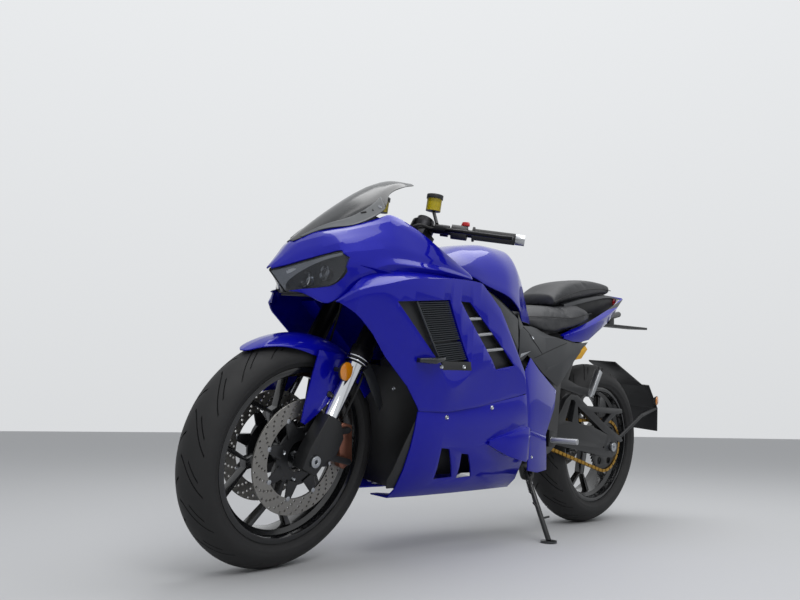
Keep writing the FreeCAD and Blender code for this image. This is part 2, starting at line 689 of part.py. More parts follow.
REAR_CALIPER_DEG = -38.0
REAR_CALIPER_HALF = 14.0

# Frame and running gear

SWING_PIVOT = (430.0, 375.0)
PIVOT_RADIUS = 10.0
ARM_INNER, ARM_OUTER = 104.0, 126.0
PLATE_INNER, PLATE_OUTER = 128.0, 142.0
HEAD_LOW = STEER_POINT + UP_AXIS * (LOWER_YOKE + 17)
HEAD_HIGH = STEER_POINT + UP_AXIS * (UPPER_YOKE - 14)
HEAD_MID = (HEAD_LOW + HEAD_HIGH) * 0.5


# Where the fairing is bolted to a lug on each spar
FAIRING_LUG = (880.0, 722.0)


def main_frame():
    """Head tube, two tapering spars, pivot plates and cross tubes."""
    head = bar(tuple(HEAD_LOW), tuple(HEAD_HIGH), 32)
    head = head.cut(bar(tuple(HEAD_LOW - UP_AXIS * 5), tuple(HEAD_HIGH + UP_AXIS * 5), 15 + RUN_GAP))
    spar_stations = [
        # x, y inner, y outer, z low, z high
        (HEAD_MID.x - 29.6, 12, 34, HEAD_MID.z - 47.5, HEAD_MID.z + 20.5), (1010, 34, 66, 742, 850), (900, 92, 124, 668, 792),
        (700, 114, 142, 560, 690), (520, 114, 142, 470, 640),
    ]
    spar = loft([[(x, yi, zl), (x, yo, zl), (x, yo, zh), (x, yi, zh)] for x, yi, yo, zl, zh in spar_stations])
    plate = side_prism([(560, 640), (520, 640), (395, 560), (392, 330), (430, 300), (500, 276), (560, 270), (596, 276),
                        (596, 560)], PLATE_INNER, PLATE_OUTER)
    side = fuse([spar, plate])
    tie_high = cross_tube((560, 590), 16, -PLATE_INNER, PLATE_INNER)
    tie_low = cross_tube((585, 300), 14, -PLATE_INNER, PLATE_INNER)
    pivot = cross_tube(SWING_PIVOT, PIVOT_RADIUS, -PLATE_INNER, PLATE_INNER)
    lug = cross_tube(FAIRING_LUG, 7, spar_stations[2][1] + 8, surface_y(FLANK, *FAIRING_LUG) - 1.1 * PANEL - SEAT_GAP)
    body = fuse([side, mirrored(side), tie_high, tie_low, pivot, head, lug, mirrored(lug)])
    stem_space = bar(tuple(HEAD_LOW - UP_AXIS * 5), tuple(HEAD_HIGH + UP_AXIS * 5), 15 + RUN_GAP)
    return body.cut(stem_space)


def front_stay():
    """Stay from the head tube that carries the lamps, the nose and the tops of the side fairings."""
    reach = surface_y(NOSE, 1280, 812) - PANEL / 2
    stem = bent_bar([tuple(HEAD_MID), tuple(HEAD_MID + FORWARD_OF_AXIS * 75), (1280, 0, 812), (1372, 0, 760)], 9)
    cross = bar((1280, -reach, 812), (1280, reach, 812), 9)
    low = bar((1372, -104, 760), (1372, 104, 760), 8)
    stay = fuse([stem, cross, low])
    nose_space = skin(moved_in(NOSE, -SEAT_GAP), PANEL + 2 * SEAT_GAP)
    stay = stay.cut(nose_space).cut(mirrored(nose_space))
    return stay.cut(bar(tuple(HEAD_LOW), tuple(HEAD_HIGH), 32 + SEAT_GAP))


STRUT_ROOT = (440.0, 540.0)
TAIL_LUG = (40.0, 812.0)
TAIL_LUG_RADIUS = 6.0


def subframe():
    """Two seat rails and their lower struts, tied at the back."""
    rail = bent_bar([(536, 128, 600), (300, 106, 728), (40, 70, 812), (-120, 46, 850)], 12)
    strut = bar((440, 104, 540), (120, 80, 776), 10)
    root = cross_tube(STRUT_ROOT, 9, -PLATE_INNER + SEAT_GAP, PLATE_INNER - SEAT_GAP)
    tie = bar((-100, -50, 845), (-100, 50, 845), 9)
    middle = bar((290, -104, 732), (290, 104, 732), 9)
    reach = surface_y(TAIL, TAIL_LUG[0] - TAIL_LUG_RADIUS, TAIL_LUG[1] - TAIL_LUG_RADIUS) - 0.85 * PANEL - SEAT_GAP
    carrier = cross_tube(TAIL_LUG, TAIL_LUG_RADIUS, -reach, reach)
    frame = fuse([rail, mirrored(rail), strut, mirrored(strut), root, tie, middle, carrier])
    return frame.cut(main_frame())


def battery_box():
    """The heavy battery, one plain block between the spars."""
    front = WALL_X - SEAT_GAP
    return prism([(620, -92, 235), (front, -92, 235), (front, -92, 560), (930, -92, 640), (640, -92, 640),
                  (604, -92, 520)], (0, 184, 0))


def drive_motor():
    """The mid-mounted motor, one plain drum, with its output shaft and small sprocket."""
    drum = cross_tube((DRIVE_X, DRIVE_Z), 70, -84, 78)
    shaft = cross_tube((DRIVE_X, DRIVE_Z), 11, 78, CHAIN_OFFSET + 6)
    hanger = cross_tube((DRIVE_X + 26, DRIVE_Z + 54), 12, -PLATE_INNER + SEAT_GAP, PLATE_INNER - SEAT_GAP)
    small = toothed_wheel(Vec(DRIVE_X, 0, DRIVE_Z), DRIVE_TEETH, 6.0, CHAIN_OFFSET, 5)
    return fuse([drum, shaft, small, hanger])


def swing_arm():
    """Braced arm: deep lower beams, triangular trusses above, cross tube and pivot."""
    beam = side_prism([(462, 352), (452, 398), (330, 410), (150, 392), (40, 362), (-28, 350), (-48, 322), (-40, 286),
                       (-10, 272), (60, 276), (150, 292), (330, 318), (440, 336)], ARM_INNER, ARM_OUTER)
    tower = side_prism([(392, 400), (330, 400), (300, 486), (268, 486), (282, 404), (250, 396), (240, 402), (262, 500),
                        (300, 506), (330, 486), (352, 452)], ARM_INNER, ARM_OUTER)
    diagonal = side_prism([(300, 500), (262, 504), (60, 402), (-70, 350), (-84, 336), (-60, 330), (66, 372), (250, 462)],
                          ARM_INNER, ARM_OUTER)
    tail = side_prism([(196, 466), (-60, 462), (-66, 446), (-20, 440), (60, 392), (86, 392), (16, 442), (190, 446)],
                      ARM_INNER, ARM_OUTER)
    arm = fuse([beam, tower, diagonal, tail])
    arm = arm.cut(cross_tube((0, REAR_TYRE_RADIUS), REAR_AXLE_RADIUS + RUN_GAP, 90, 160))
    bridge = swing_arm_bridge()
    chain_slot = side_prism([(340, 300), (410, 300), (410, 372), (340, 352)], CHAIN_OFFSET - 12, CHAIN_OFFSET + 12)
    chain_top = side_prism([(340, 386), (410, 380), (410, 440), (340, 440)], CHAIN_OFFSET - 12, CHAIN_OFFSET + 12)
    bridge = bridge.cut(chain_slot).cut(chain_top)
    solid = fuse([arm, mirrored(arm), bridge])
    solid = solid.cut(cross_tube(SWING_PIVOT, PIVOT_RADIUS + SEAT_GAP, -PLATE_INNER, PLATE_INNER))
    for y0, y1 in ((ARM_OUTER - BOBBIN_DEPTH, ARM_OUTER + 1), (-ARM_OUTER - 1, -ARM_OUTER + BOBBIN_DEPTH)):
        solid = solid.cut(cross_tube(BOBBIN_SPOT, BOBBIN_RADIUS, y0, y1))
    return solid


# Threaded holes for paddock stand bobbins, in the outer faces of the arm
BOBBIN_SPOT = (56.0, 312.0)
BOBBIN_RADIUS = 4.0
BOBBIN_DEPTH = 16.0


def rear_axle_set():
    reach = ARM_OUTER + 4
    spindle = ring(REAR_AXLE, REAR_AXLE_RADIUS, 5, -reach, reach)
    head = ring(REAR_AXLE, 17, 5, ARM_OUTER + SEAT_GAP, ARM_OUTER + 12)
    return fuse([spindle, head, mirrored(head)])


# Bodywork. Every line runs from its top edge down, as (y, z) points at a station x.

NOSE = [
    # x, top edge, crest, shoulder, flank, lamp height, low edge, lip towards the side fairing
    (1514, [(0, 768), (8, 766), (14, 760), (17, 752), (15, 742), (10, 736), (4, 731)]),
    (1485, [(0, 808), (22, 802), (40, 786), (50, 765), (52, 735), (44, 712), (38, 707)]),
    (1459, [(0, 846), (34, 836), (62, 812), (78, 784), (80, 745), (70, 716), (66, 707)]),
    (1420, [(46, 872), (80, 858), (110, 830), (124, 795), (126, 760), (114, 722), (138, 692)]),
    (1393, [(62, 884), (98, 870), (134, 844), (154, 816), (157, 776), (149, 735), (158, 718)]),
    (1340, [(95, 902), (118, 892), (146, 864), (168, 830), (176, 800), (173, 768), (173, 764)]),
    (1266, [(118, 938), (138, 922), (160, 887), (178, 850), (187, 825), (190, 803), (190, 800)]),
    (1235, [(128, 953), (146, 933), (166, 892), (181, 855), (190, 828), (193, 806), (193, 803)]),
    (1161, [(150, 930), (162, 912), (174, 880), (185, 852), (194, 830), (198, 811), (198, 808)]),
    (1076, [(169, 889), (176, 878), (184, 862), (190, 845), (196, 830), (200, 816), (200, 813)]),
    (958, [(187, 832), (189, 830), (191, 828), (193, 825), (195, 822), (197, 819), (197, 816)]),]

LAMPS = [
    # y, top x and z, bottom x and z
    (22, (1499, 751), (1457, 709)),
    (78, (1452, 786), (1433, 718)),
    (122, (1415, 808), (1416, 728)),
    (146, (1394, 819), (1403, 741)),
    (158, (1381, 804), (1388, 770)),
]
LAMP_DEPTH = 34.0

SCREEN = [
    # x, half line from the middle out to the side edge
    (1462, [(0, 846), (8, 845), (16, 843)]),
    (1400, [(0, 908), (38, 898), (60, 883)]),
    (1330, [(0, 972), (62, 952), (97, 907)]),
    (1262, [(0, 1028), (76, 1004), (115, 953)]),
    (1244, [(0, 1041), (74, 1019), (114, 972)]),
    (1216, [(0, 1060), (68, 1042), (90, 1020)]),
    (1150, [(0, 1090), (50, 1078), (70, 1062)]),
    (1085, [(0, 1100), (22, 1097), (40, 1089)]),
]
SCREEN_WALL = 3.0

FLANK = [
    # x, tuck under the nose, shoulder crease, crease of the front facet, middle, split line
    (1409, [(150, 694), (171, 688), (171, 680), (169, 670), (166, 640)]),
    (1370, [(166, 742), (211, 724), (212, 705), (205, 655), (194, 560)]),
    (1300, [(182, 778), (225, 749), (226, 722), (214, 640), (196, 540)]),
    (1200, [(190, 800), (226, 780), (229, 662), (216, 570), (198, 470)]),
    (1110, [(192, 808), (222, 794), (228, 584), (216, 500), (203, 425)]),
    (1030, [(192, 811), (212, 806), (224, 500), (215, 462), (206, 425)]),
    (930, [(182, 818), (203, 812), (220, 560), (212, 490), (205, 425)]),
    (820, [(176, 752), (202, 744), (212, 600), (207, 520), (201, 435)]),
    (720, [(172, 636), (196, 628), (202, 580), (199, 530), (196, 470)]),
    (650, [(168, 566), (190, 556), (194, 530), (193, 505), (190, 480)]),
]
FLANK_OUTLINE = [
    (1409, 690), (1373, 733), (1308, 790), (1191, 812), (1026, 822), (929, 818), (827, 748), (741, 649), (672, 566),
    (655, 500), (683, 492), (802, 470), (892, 451), (1018, 433), (1126, 431), (1132, 441), (1179, 495), (1262, 564),
    (1314, 618), (1355, 651),
]
GRILLE_OPENING = [(1262, 710), (1064, 742), (954, 562), (1071, 556), (1112, 584)]
SLOT_OPENING = [(1014, 745), (970, 748), (740, 582), (834, 564)]
SLOT_BARS = [
    # front end x and z, rear end x and z
    ((987, 696), (918, 707)),
    ((951, 653), (858, 669)),
    ((912, 612), (790, 630)),
]

BELLY = [
    # x, half line from the split down to the keel
    (1128, [(203, 431), (197, 380), (187, 330), (168, 270), (140, 212), (112, 183), (40, 177)]),
    (1018, [(205, 433), (199, 380), (190, 330), (172, 270), (146, 212), (116, 183), (40, 176)]),
    (880, [(204, 453), (198, 390), (190, 335), (172, 272), (146, 214), (116, 184), (40, 177)]),
    (740, [(200, 481), (194, 400), (186, 340), (168, 276), (142, 216), (112, 185), (40, 178)]),
    (600, [(190, 506), (184, 410), (175, 345), (158, 280), (134, 218), (106, 186), (40, 180)]),
]
BELLY_OUTLINE = [
    (1128, 170), (1128, 431 - PANEL_GAP), (1018, 433 - PANEL_GAP), (892, 451 - PANEL_GAP), (802, 470 - PANEL_GAP),
    (683, 492 - PANEL_GAP), (655, 498), (628, 420), (600, 330), (592, 250), (601, 170),
]
VENTS = [
    # outline in x and z
    [(1012, 331), (978, 327), (928, 242), (1000, 238)],
    [(922, 313), (890, 310), (842, 240), (905, 237)],
]
SCOOP = [
    # x, inner y, outer y, low z, high z
    (816, 188, 196, 338, 352),
    (740, 186, 212, 306, 374),
    (657, 178, 216, 288, 396),
    (636, 174, 208, 296, 390),
]
PIVOT_COVER = [(663, 566), (629, 614), (438, 515), (441, 456), (484, 364), (470, 300), (462, 246), (520, 240),
               (585, 250), (593, 332), (621, 422), (648, 498)]

TANK = [
    (1030, [(0, 884), (64, 880), (112, 866), (150, 848), (164, 832)]),
    (960, [(0, 917), (64, 913), (118, 895), (162, 862), (178, 832)]),
    (890, [(0, 944), (64, 940), (124, 916), (166, 868), (188, 814)]),
    (780, [(0, 967), (62, 963), (120, 935), (162, 880), (186, 796)]),
    (690, [(0, 970), (60, 966), (110, 935), (146, 872), (168, 762)]),
    (650, [(0, 962), (56, 957), (96, 922), (130, 858), (150, 730)]),
    (600, [(0, 858), (52, 853), (92, 835), (118, 796), (132, 730)]),
    (556, [(0, 778), (50, 775), (85, 768), (104, 752), (110, 730)]),
]

RIDER_SEAT = [
    (548, [(0, 782), (56, 779), (86, 762), (98, 735)]),
    (480, [(0, 800), (72, 795), (122, 770), (142, 722)]),
    (380, [(0, 812), (92, 806), (142, 778), (154, 738)]),
    (280, [(0, 832), (92, 827), (140, 802), (150, 768)]),
    (215, [(0, 840), (84, 834), (124, 816), (134, 792)]),
]
PILLION_SEAT = [
    (400, [(0, 852), (58, 848), (88, 834), (96, 818)]),
    (330, [(0, 902), (60, 895), (94, 868), (102, 848)]),
    (220, [(0, 932), (60, 926), (90, 904), (98, 880)]),
    (110, [(0, 950), (54, 945), (78, 927), (85, 906)]),
    (30, [(0, 954), (46, 950), (62, 938), (68, 920)]),
    (-38, [(0, 956), (36, 952), (48, 942), (52, 928)]),
]

SIDE_COVER = [
    # x, top, middle and bottom of the grey cover under the tank and seat
    (700, [(164, 752), (176, 700), (180, 640), (178, 601)]),
    (600, [(140, 722), (164, 690), (172, 640), (170, 600)]),
    (520, [(128, 716), (152, 690), (160, 620), (152, 560)]),
    (400, [(136, 726), (150, 700), (152, 620), (150, 520)]),
    (300, [(128, 745), (140, 720), (138, 660), (132, 600)]),
    (205, [(112, 765), (122, 745), (122, 715), (118, 690)]),
]
SIDE_COVER_OUTLINE = [(690, 750), (655, 716), (560, 722), (485, 700), (407, 694), (344, 689), (280, 693), (213, 703), (300, 640), (426, 528),
                      (640, 622), (668, 600), (690, 610)]

TRIM = [
    # x, outline of the narrow trim between the fairing and the tank
    (1000, [(150, 846), (172, 830), (178, 816), (170, 812)]),
    (900, [(160, 818), (186, 806), (190, 786), (182, 780)]),
    (800, [(160, 790), (182, 770), (188, 730), (180, 722)]),
    (700, [(150, 752), (172, 730), (182, 640), (174, 610)]),
]

TAIL = [
    # x, line down the blue wing: top, crest, low edge
    (405, [(132, 712), (148, 708), (146, 698)]),
    (340, [(132, 738), (149, 728), (142, 694)]),
    (280, [(130, 758), (146, 746), (136, 698)]),
    (215, [(124, 782), (140, 770), (126, 712)]),
    (140, [(112, 812), (128, 798), (114, 750)]),
    (40, [(90, 848), (106, 836), (92, 794)]),
    (-50, [(70, 884), (82, 872), (70, 846)]),
    (-132, [(48, 922), (56, 916), (46, 908)]),
]
TAIL_TOP = [
    # x, deck line from the middle out, under the pillion seat
    (336, [(0, 836), (60, 836), (88, 830), (94, 818)]),
    (220, [(0, 871.7), (60, 871.7), (86, 866), (92, 852)]),
    (110, [(0, 897.7), (52, 897.7), (72, 892), (78, 880)]),
    (30, [(0, 911.7), (40, 911.7), (58, 908), (64, 898)]),
    (-38, [(0, 919.7), (30, 919.7), (46, 917), (52, 908)]),
    (-135, [(0, 924), (40, 923), (50, 921), (52, 914)]),
]
WALL_X = 1034.0


def line_at(stations, x):
    """The station line at any x, between the two nearest stations."""
    ordered = sorted(stations)
    for (x0, low), (x1, high) in zip(ordered, ordered[1:]):
        if x0 <= x <= x1:
            share = (x - x0) / (x1 - x0)
            return [(a[0] + (b[0] - a[0]) * share, a[1] + (b[1] - a[1]) * share) for a, b in zip(low, high)]
    raise ValueError("no station there")


def surface_y(stations, x, z):
    """How far out a panel reaches at x and z."""
    line = line_at(stations, x)
    for (y0, z0), (y1, z1) in zip(line, line[1:]):
        if min(z0, z1) <= z <= max(z0, z1):
            return y0 + (y1 - y0) * (z - z0) / (z1 - z0)
    raise ValueError("no surface there")


def moved_in(stations, depth):
    """The stations with every line moved in from the outer face."""
    return [(x, offset_line(line, depth)) for x, line in stations]


def grown(outline, distance):
    """An outline of (x, z) points moved outwards, with mitred corners."""
    area = sum(a[0] * b[1] - b[0] * a[1] for a, b in zip(outline, outline[1:] + outline[:1]))
    sign = 1 if area > 0 else -1
    result = []
    for i, p in enumerate(outline):
        before, after = outline[i - 1], outline[(i + 1) % len(outline)]
        d0 = (p[0] - before[0], p[1] - before[1])
        d1 = (after[0] - p[0], after[1] - p[1])
        l0, l1 = math.hypot(*d0), math.hypot(*d1)
        n0 = (sign * d0[1] / l0, -sign * d0[0] / l0)
        n1 = (sign * d1[1] / l1, -sign * d1[0] / l1)
        scale = distance / (1 + n0[0] * n1[0] + n0[1] * n1[1])
        result.append((p[0] + (n0[0] + n1[0]) * scale, p[1] + (n0[1] + n1[1]) * scale))
    return result


def side_panel(stations, outline, wall=PANEL):
    """The left panel: a skin through the stations, trimmed to an outline seen from the side."""
    return skin(stations, wall).common(side_prism(outline, 0, 400))


def nose_cowl():
    shell = skin(NOSE, PANEL)
    lamp = lamp_block(-60, 60, 0)
    front = fuse([shell, mirrored(shell)])
    return front.cut(lamp).cut(mirrored(lamp)).cut(windscreen(SEAT_GAP))


def lamp_block(x_back, x_front, grow):
    """The left lamp from its y stations, thickened backwards and forwards, and grown for an opening."""
    sections = []
    for i, (y, (xt, zt), (xb, zb)) in enumerate(LAMPS):
        y = y - grow if i == 0 else y + grow if i == len(LAMPS) - 1 else y
        sections.append([(xt + x_front, y, zt + grow), (xb + x_front, y, zb - grow), (xb + x_back, y, zb - grow),
                         (xt + x_back, y, zt + grow)])
    return loft(sections)


def headlamps():
    return pair(lamp_block(-LAMP_DEPTH, 0, -SEAT_GAP))


def windscreen(extra=0.0):
    """The screen, or with extra the space round it for the nose to clear."""
    sections = []
    for x, half in SCREEN:
        outer = [(y, z + extra) for y, z in half]
        outer[-1] = (half[-1][0] + extra, half[-1][1])
        inner = [(y, z - SCREEN_WALL - extra) for y, z in half]
        inner[-1] = (half[-1][0] - SCREEN_WALL * 0.8, half[-1][1] - SCREEN_WALL * 0.6 - extra)
        outer_line = [(x, -y, z) for y, z in reversed(outer) if y > 0] + [(x, y, z) for y, z in outer]
        inner_line = [(x, y, z) for y, z in reversed(inner)] + [(x, -y, z) for y, z in inner if y > 0]
        sections.append(outer_line + inner_line)
    return loft(sections)


def side_fairing():
    panel = side_panel(FLANK, FLANK_OUTLINE)
    for opening in (GRILLE_OPENING, SLOT_OPENING):
        panel = panel.cut(side_prism(opening, 150, 300))
    return panel


TRAY_DEPTH = 16.0
TRAY_WALL = 2.5


def tray(opening):
    """A black pan behind an opening of the fairing, with a rim that lies against the panel."""
    back_face = PANEL + SEAT_GAP
    block = skin(moved_in(FLANK, back_face), TRAY_DEPTH).common(side_prism(grown(opening, TRAY_WALL), 100, 300))
    hollow = skin(moved_in(FLANK, back_face - 1), TRAY_DEPTH - TRAY_WALL + 1).common(side_prism(opening, 100, 300))
    return block.cut(hollow)


def strip(a, b, low, high):
    """An upright-sided strip outline from a to b, reaching low under the line and high over it."""
    return [(a[0], a[1] - low), (a[0], a[1] + high), (b[0], b[1] + high), (b[0], b[1] - low)]


def slot_tray():
    """The slot pan with the three bright bars across it."""
    parts = [tray(SLOT_OPENING)]
    for a, b in SLOT_BARS:
        run = (a[0] + 10, a[1] - 2), (b[0] - 10, b[1] + 2)
        line = side_prism(strip(*run, 6, 5), 100, 300)
        deep = skin(moved_in(FLANK, PANEL + SEAT_GAP), 6).common(line)
        parts.append(deep.common(side_prism(grown(SLOT_OPENING, TRAY_WALL - 1), 100, 300)))
        outer = skin(moved_in(FLANK, 0.8), PANEL).common(line)
        parts.append(outer.common(side_prism(grown(SLOT_OPENING, -SEAT_GAP), 100, 300)))
    return fuse(parts)


GRILLE_PANE = [(1190, 720), (1066, 739), (958, 565), (1073, 559)]
LOUVRE_COUNT = 12
LOUVRE_RISE = 0.16


def grille_tray():
    """The grille pan: louvres fill the pane, and the front corner stays an open duct."""
    parts = [tray(GRILLE_OPENING)]
    pane = side_prism(grown(GRILLE_PANE, 2.0), 100, 300)
    backing = skin(moved_in(FLANK, PANEL + 8), 3).common(pane)
    parts.append(backing.common(side_prism(grown(GRILLE_OPENING, TRAY_WALL - 1), 100, 300)))
    low, high = 534.0, 714.0
    for i in range(LOUVRE_COUNT):
        z = low + (high - low) * i / (LOUVRE_COUNT - 1)
        front, rear = (1250, z - 60 * LOUVRE_RISE), (900, z + 290 * LOUVRE_RISE)
        blade = skin(moved_in(FLANK, PANEL + SEAT_GAP), 9).common(side_prism(strip(front, rear, 3, 3), 100, 300))
        parts.append(blade.common(side_prism(grown(GRILLE_PANE, 0.5), 100, 300)))
    return fuse(parts)


def belly_pan():
    pan = side_panel(BELLY, BELLY_OUTLINE)
    for vent in VENTS:
        pan = pan.cut(side_prism(vent, 120, 300))
    scoop = loft([[(x, yi, zl), (x, yo, zl), (x, yo, zh), (x, yi, zh)] for x, yi, yo, zl, zh in SCOOP])
    mouth = loft([[(x + 1, yi + 1, zl + 7), (x + 1, yo - 4, zl + 7), (x + 1, yo - 4, zh - 6), (x + 1, yi + 1, zh - 6)]
                  for x, yi, yo, zl, zh in SCOOP[:3]])
    return pan.fuse(scoop).cut(mouth).removeSplitter()


def pivot_cover():
    """The blue cover over the swing arm's pivot, standing off the frame plate on two spacers."""
    line = [(684, 192), (560, 166), (430, 154)]
    inner = [(x, y - PANEL) for x, y in reversed(line)]
    cover = prism([(x, y, 0) for x, y in line + inner], (0, 0, 900)).common(side_prism(PIVOT_COVER, 0, 300))
    spacers = [cross_tube((x, z), 8, PLATE_OUTER + SEAT_GAP, 154 + (x - 430) * 12 / 130 - 1)
               for x, z in ((480, 470), (560, 440))]
    return fuse([cover] + spacers)


def screen_brackets():
    """A plate along the lower edge of the screen on each side, outside it."""
    stations = []
    for x in (1400, 1330, 1262, 1232):
        _, (y1, z1), (y2, z2) = line_at(SCREEN, x)
        share = 0.42 if x < 1400 else 0.7
        stations.append((x, [(y1 + (y2 - y1) * share, z1 + (z2 - z1) * share), (y2, z2)]))
    plate = skin(moved_in(stations, -(BRACKET_WALL + SEAT_GAP)), BRACKET_WALL)
    plate = plate.cut(skin(moved_in(NOSE, -SEAT_GAP), PANEL + 2 * SEAT_GAP))
    return pair(largest(plate.cut(windscreen(SEAT_GAP / 2))))


BRACKET_WALL = 2.5


def tail_lamp():
    """The red lens across the end of the tail, under the deck."""
    stations = [(-128, 38, 908.5, 916), (-70, 50, 884, 910)]
    lens = loft([[(x, -half, low), (x, half, low), (x, half, high), (x, -half, high)] for x, half, low, high in stations])
    space = skin(moved_in(TAIL, -SEAT_GAP), PANEL + 2 * SEAT_GAP)
    return largest(lens.cut(space).cut(mirrored(space)).cut(shell_loft(TAIL_TOP, PANEL + SEAT_GAP)).cut(tail_cowl()))


def rear_reflectors():
    """Round side reflectors on the edges of the rear guard."""
    spot = (-388.0, 505.0)
    return pair(cross_tube(spot, REFLECTOR_RADIUS - 1, 92 + SEAT_GAP, 101))


def closed_loft(stations, floor_drop):
    """A solid between a crowned half line and a flat underside, mirrored across the middle."""
    sections = []
    for x, half in stations:
        right = [(x, -y, z) for y, z in reversed(half) if y > 0]
        left = [(x, y, z) for y, z in half]
        edge_y, edge_z = half[-1]
        sections.append(right + left + [(x, edge_y - 12, edge_z - floor_drop), (x, -edge_y + 12, edge_z - floor_drop)])
    return loft(sections)


def shell_loft(stations, wall):
    """A hood open below: crowned line outside, the same line moved in by the wall inside."""
    sections = []
    for x, half in stations:
        full = [(-y, z) for y, z in reversed(half) if y > 0] + half
        inner = offset_line(full, wall)
        sections.append([(x, y, z) for y, z in full] + [(x, y, z) for y, z in reversed(inner)])
    return loft(sections)


def tank_cover():
    return shell_loft(TANK, PANEL)


def seats():
    return closed_loft(RIDER_SEAT, 8), closed_loft(PILLION_SEAT, 8)


def tail_cowl():
    wing = skin(TAIL, PANEL)
    deck = shell_loft(TAIL_TOP, PANEL)
    return fuse([wing, mirrored(wing), deck])


def side_cover():
    """The grey cover, with spacers that stand on the frame plate."""
    cover = side_panel(SIDE_COVER, SIDE_COVER_OUTLINE, 3.5)
    spacers = [cross_tube(spot, 7, PLATE_OUTER + SEAT_GAP, surface_y(SIDE_COVER, *spot) - 1)
               for spot in ((560, 605), (500, 590))]
    return fuse([cover] + spacers)


def trim():
    solid = loft([[(x, y, z) for y, z in line] for x, line in TRIM])
    grown_skin = skin(moved_in(FLANK, -2 * SEAT_GAP), PANEL + 4 * SEAT_GAP)
    return largest(solid.cut(grown_skin).cut(side_fairing()).cut(tank_cover()))


def plate_holder():
    """The flat carrier behind the seat, with its neck up to the rear frame."""
    arm = prism([(60, -46, 770), (-10, -46, 790), (-373, -46, 812), (-373, -46, 822), (-10, -46, 800), (60, -46, 792)],
                (0, 92, 0))
    neck = prism([(-122, -30, 800), (-78, -30, 797), (-84, -30, 845), (-116, -30, 845)], (0, 60, 0))
    holder = fuse([arm, neck]).cut(bar((-100, -60, 845), (-100, 60, 845), 9 + SEAT_GAP))
    for side in (1, -1):
        middle = plate_hole(side)
        holder = holder.cut(bar(tuple(middle - PLATE_NORMAL * 12), tuple(middle + PLATE_NORMAL * 12), PLATE_HOLE_RADIUS))
    return holder


# The number plate's two bolt holes go square through the carrier, which rises a little to the back
PLATE_NORMAL = Vec(22, 0, 363).normalize()
PLATE_HOLE_RADIUS = 3.25
PLATE_HOLE_X = -300.0
PLATE_HOLE_HALF = 32.0


def plate_hole(side):
    """The middle of a bolt hole in the plate carrier."""
    return Vec(PLATE_HOLE_X, side * PLATE_HOLE_HALF, 795 + (-10 - PLATE_HOLE_X) * 22 / 363)


GUARD_SHEET = [(-330, 566), (-420, 470), (-430, 372)]


def rear_guard():
    """A black guard behind the rear tyre, on two stays from the ends of the swing arm."""
    outer = grown_line(GUARD_SHEET, 5.0)
    sheet = prism([(x, -92, z) for x, z in GUARD_SHEET + outer], (0, 184, 0))
    top = prism([(-332, -62, 562), (-332, -62, 568), (-96, -62, 650), (-96, -62, 644)], (0, 124, 0))
    stay = bent_bar([(-52, 115, 336), (-250, 112, 440), (-422, 84, 470)], 7)
    return largest(fuse([sheet, top, stay, mirrored(stay)]).cut(swing_arm()))


def grown_line(points, distance):
    """The open line moved sideways, returned in reverse order so that it closes a band."""
    moved = []
    for i, p in enumerate(points):
        a, b = points[max(i - 1, 0)], points[min(i + 1, len(points) - 1)]
        length = math.hypot(b[0] - a[0], b[1] - a[1])
        moved.append((p[0] - (b[1] - a[1]) / length * -distance, p[1] + (b[0] - a[0]) / length * -distance))
    return list(reversed(moved))


def rider_pegs():
    face = PLATE_OUTER + SEAT_GAP
    bracket = prism([(458, face, 380), (414, face, 372), (420, face, 322), (456, face, 322)], (0, 12, 0))
    peg = bar((440, face + 10, 346), (430, 248, 354), 10)
    return pair(fuse([bracket, peg]))


def pillion_pegs():
    outline = [(440, 575), (440, 528), (396, 528), (330, 518), (250, 505), (188, 508), (180, 530), (256, 536), (330, 556),
               (300, 636), (316, 650), (350, 575)]
    face = PLATE_INNER - SEAT_GAP
    bracket = side_prism(outline, face - 11, face).cut(cross_tube(STRUT_ROOT, 9 + SEAT_GAP, 0, 200))
    peg = prism([(200, face - 5, 500), (176, face - 5, 512), (132, face - 5, 596), (150, face - 5, 606)], (0, 21, 0))
    return pair(fuse([bracket, peg]))


INDICATOR = [
    # x, outer y, low z, high z
    (1168, 234, 558, 576),
    (1128, 256, 558, 580),
    (1086, 246, 570, 586),
]


def indicators():
    pod = loft([[(x, 196, zl), (x, yo, zl + 4), (x, yo, zh - 4), (x, 196, zh)] for x, yo, zl, zh in INDICATOR])
    inside = skin(moved_in(FLANK, -SEAT_GAP), 60)
    return pair(pod.cut(inside))


def inner_panels():
    """Black wall behind the front wheel, side lips ahead of the belly, and the panel under the lamps."""
    depth = PANEL + 3 * SEAT_GAP
    upper = offset_line(line_at(FLANK, WALL_X), depth + 0.6)[2:4]
    lower = offset_line(line_at(BELLY, WALL_X), depth)[:-1]
    top = (surface_y(FLANK, WALL_X, 540) - depth - 1, 540)
    half = [top] + [p for p in upper] + lower[0:]
    outline = [(WALL_X, y, z) for y, z in half] + [(WALL_X, -y, z) for y, z in reversed(half)]
    wall = prism(outline, (6, 0, 0))
    lip_line = offset_line(BELLY[0][1], depth)[:-2]
    lip = skin([(1080, lip_line), (1175, lip_line)], 3.0)
    lip = lip.common(side_prism(LIP_OUTLINE, 0, 300))
    under = loft([[(1436, -56, 707.4), (1436, 56, 707.4), (1436, 56, 703), (1436, -56, 703)],
                  [(1290, -140, 724), (1290, 140, 724), (1290, 140, 720), (1290, -140, 720)]])
    post = bar((1372, 0, 714), (1372, 0, 751 - SEAT_GAP), 12)
    return [wall, lip, mirrored(lip), fuse([under, post])]


LIP_OUTLINE = [(1080, 215), (1128, 205), (1152, 212), (1166, 240), (1152, 330), (1130, 400), (1080, 400)]


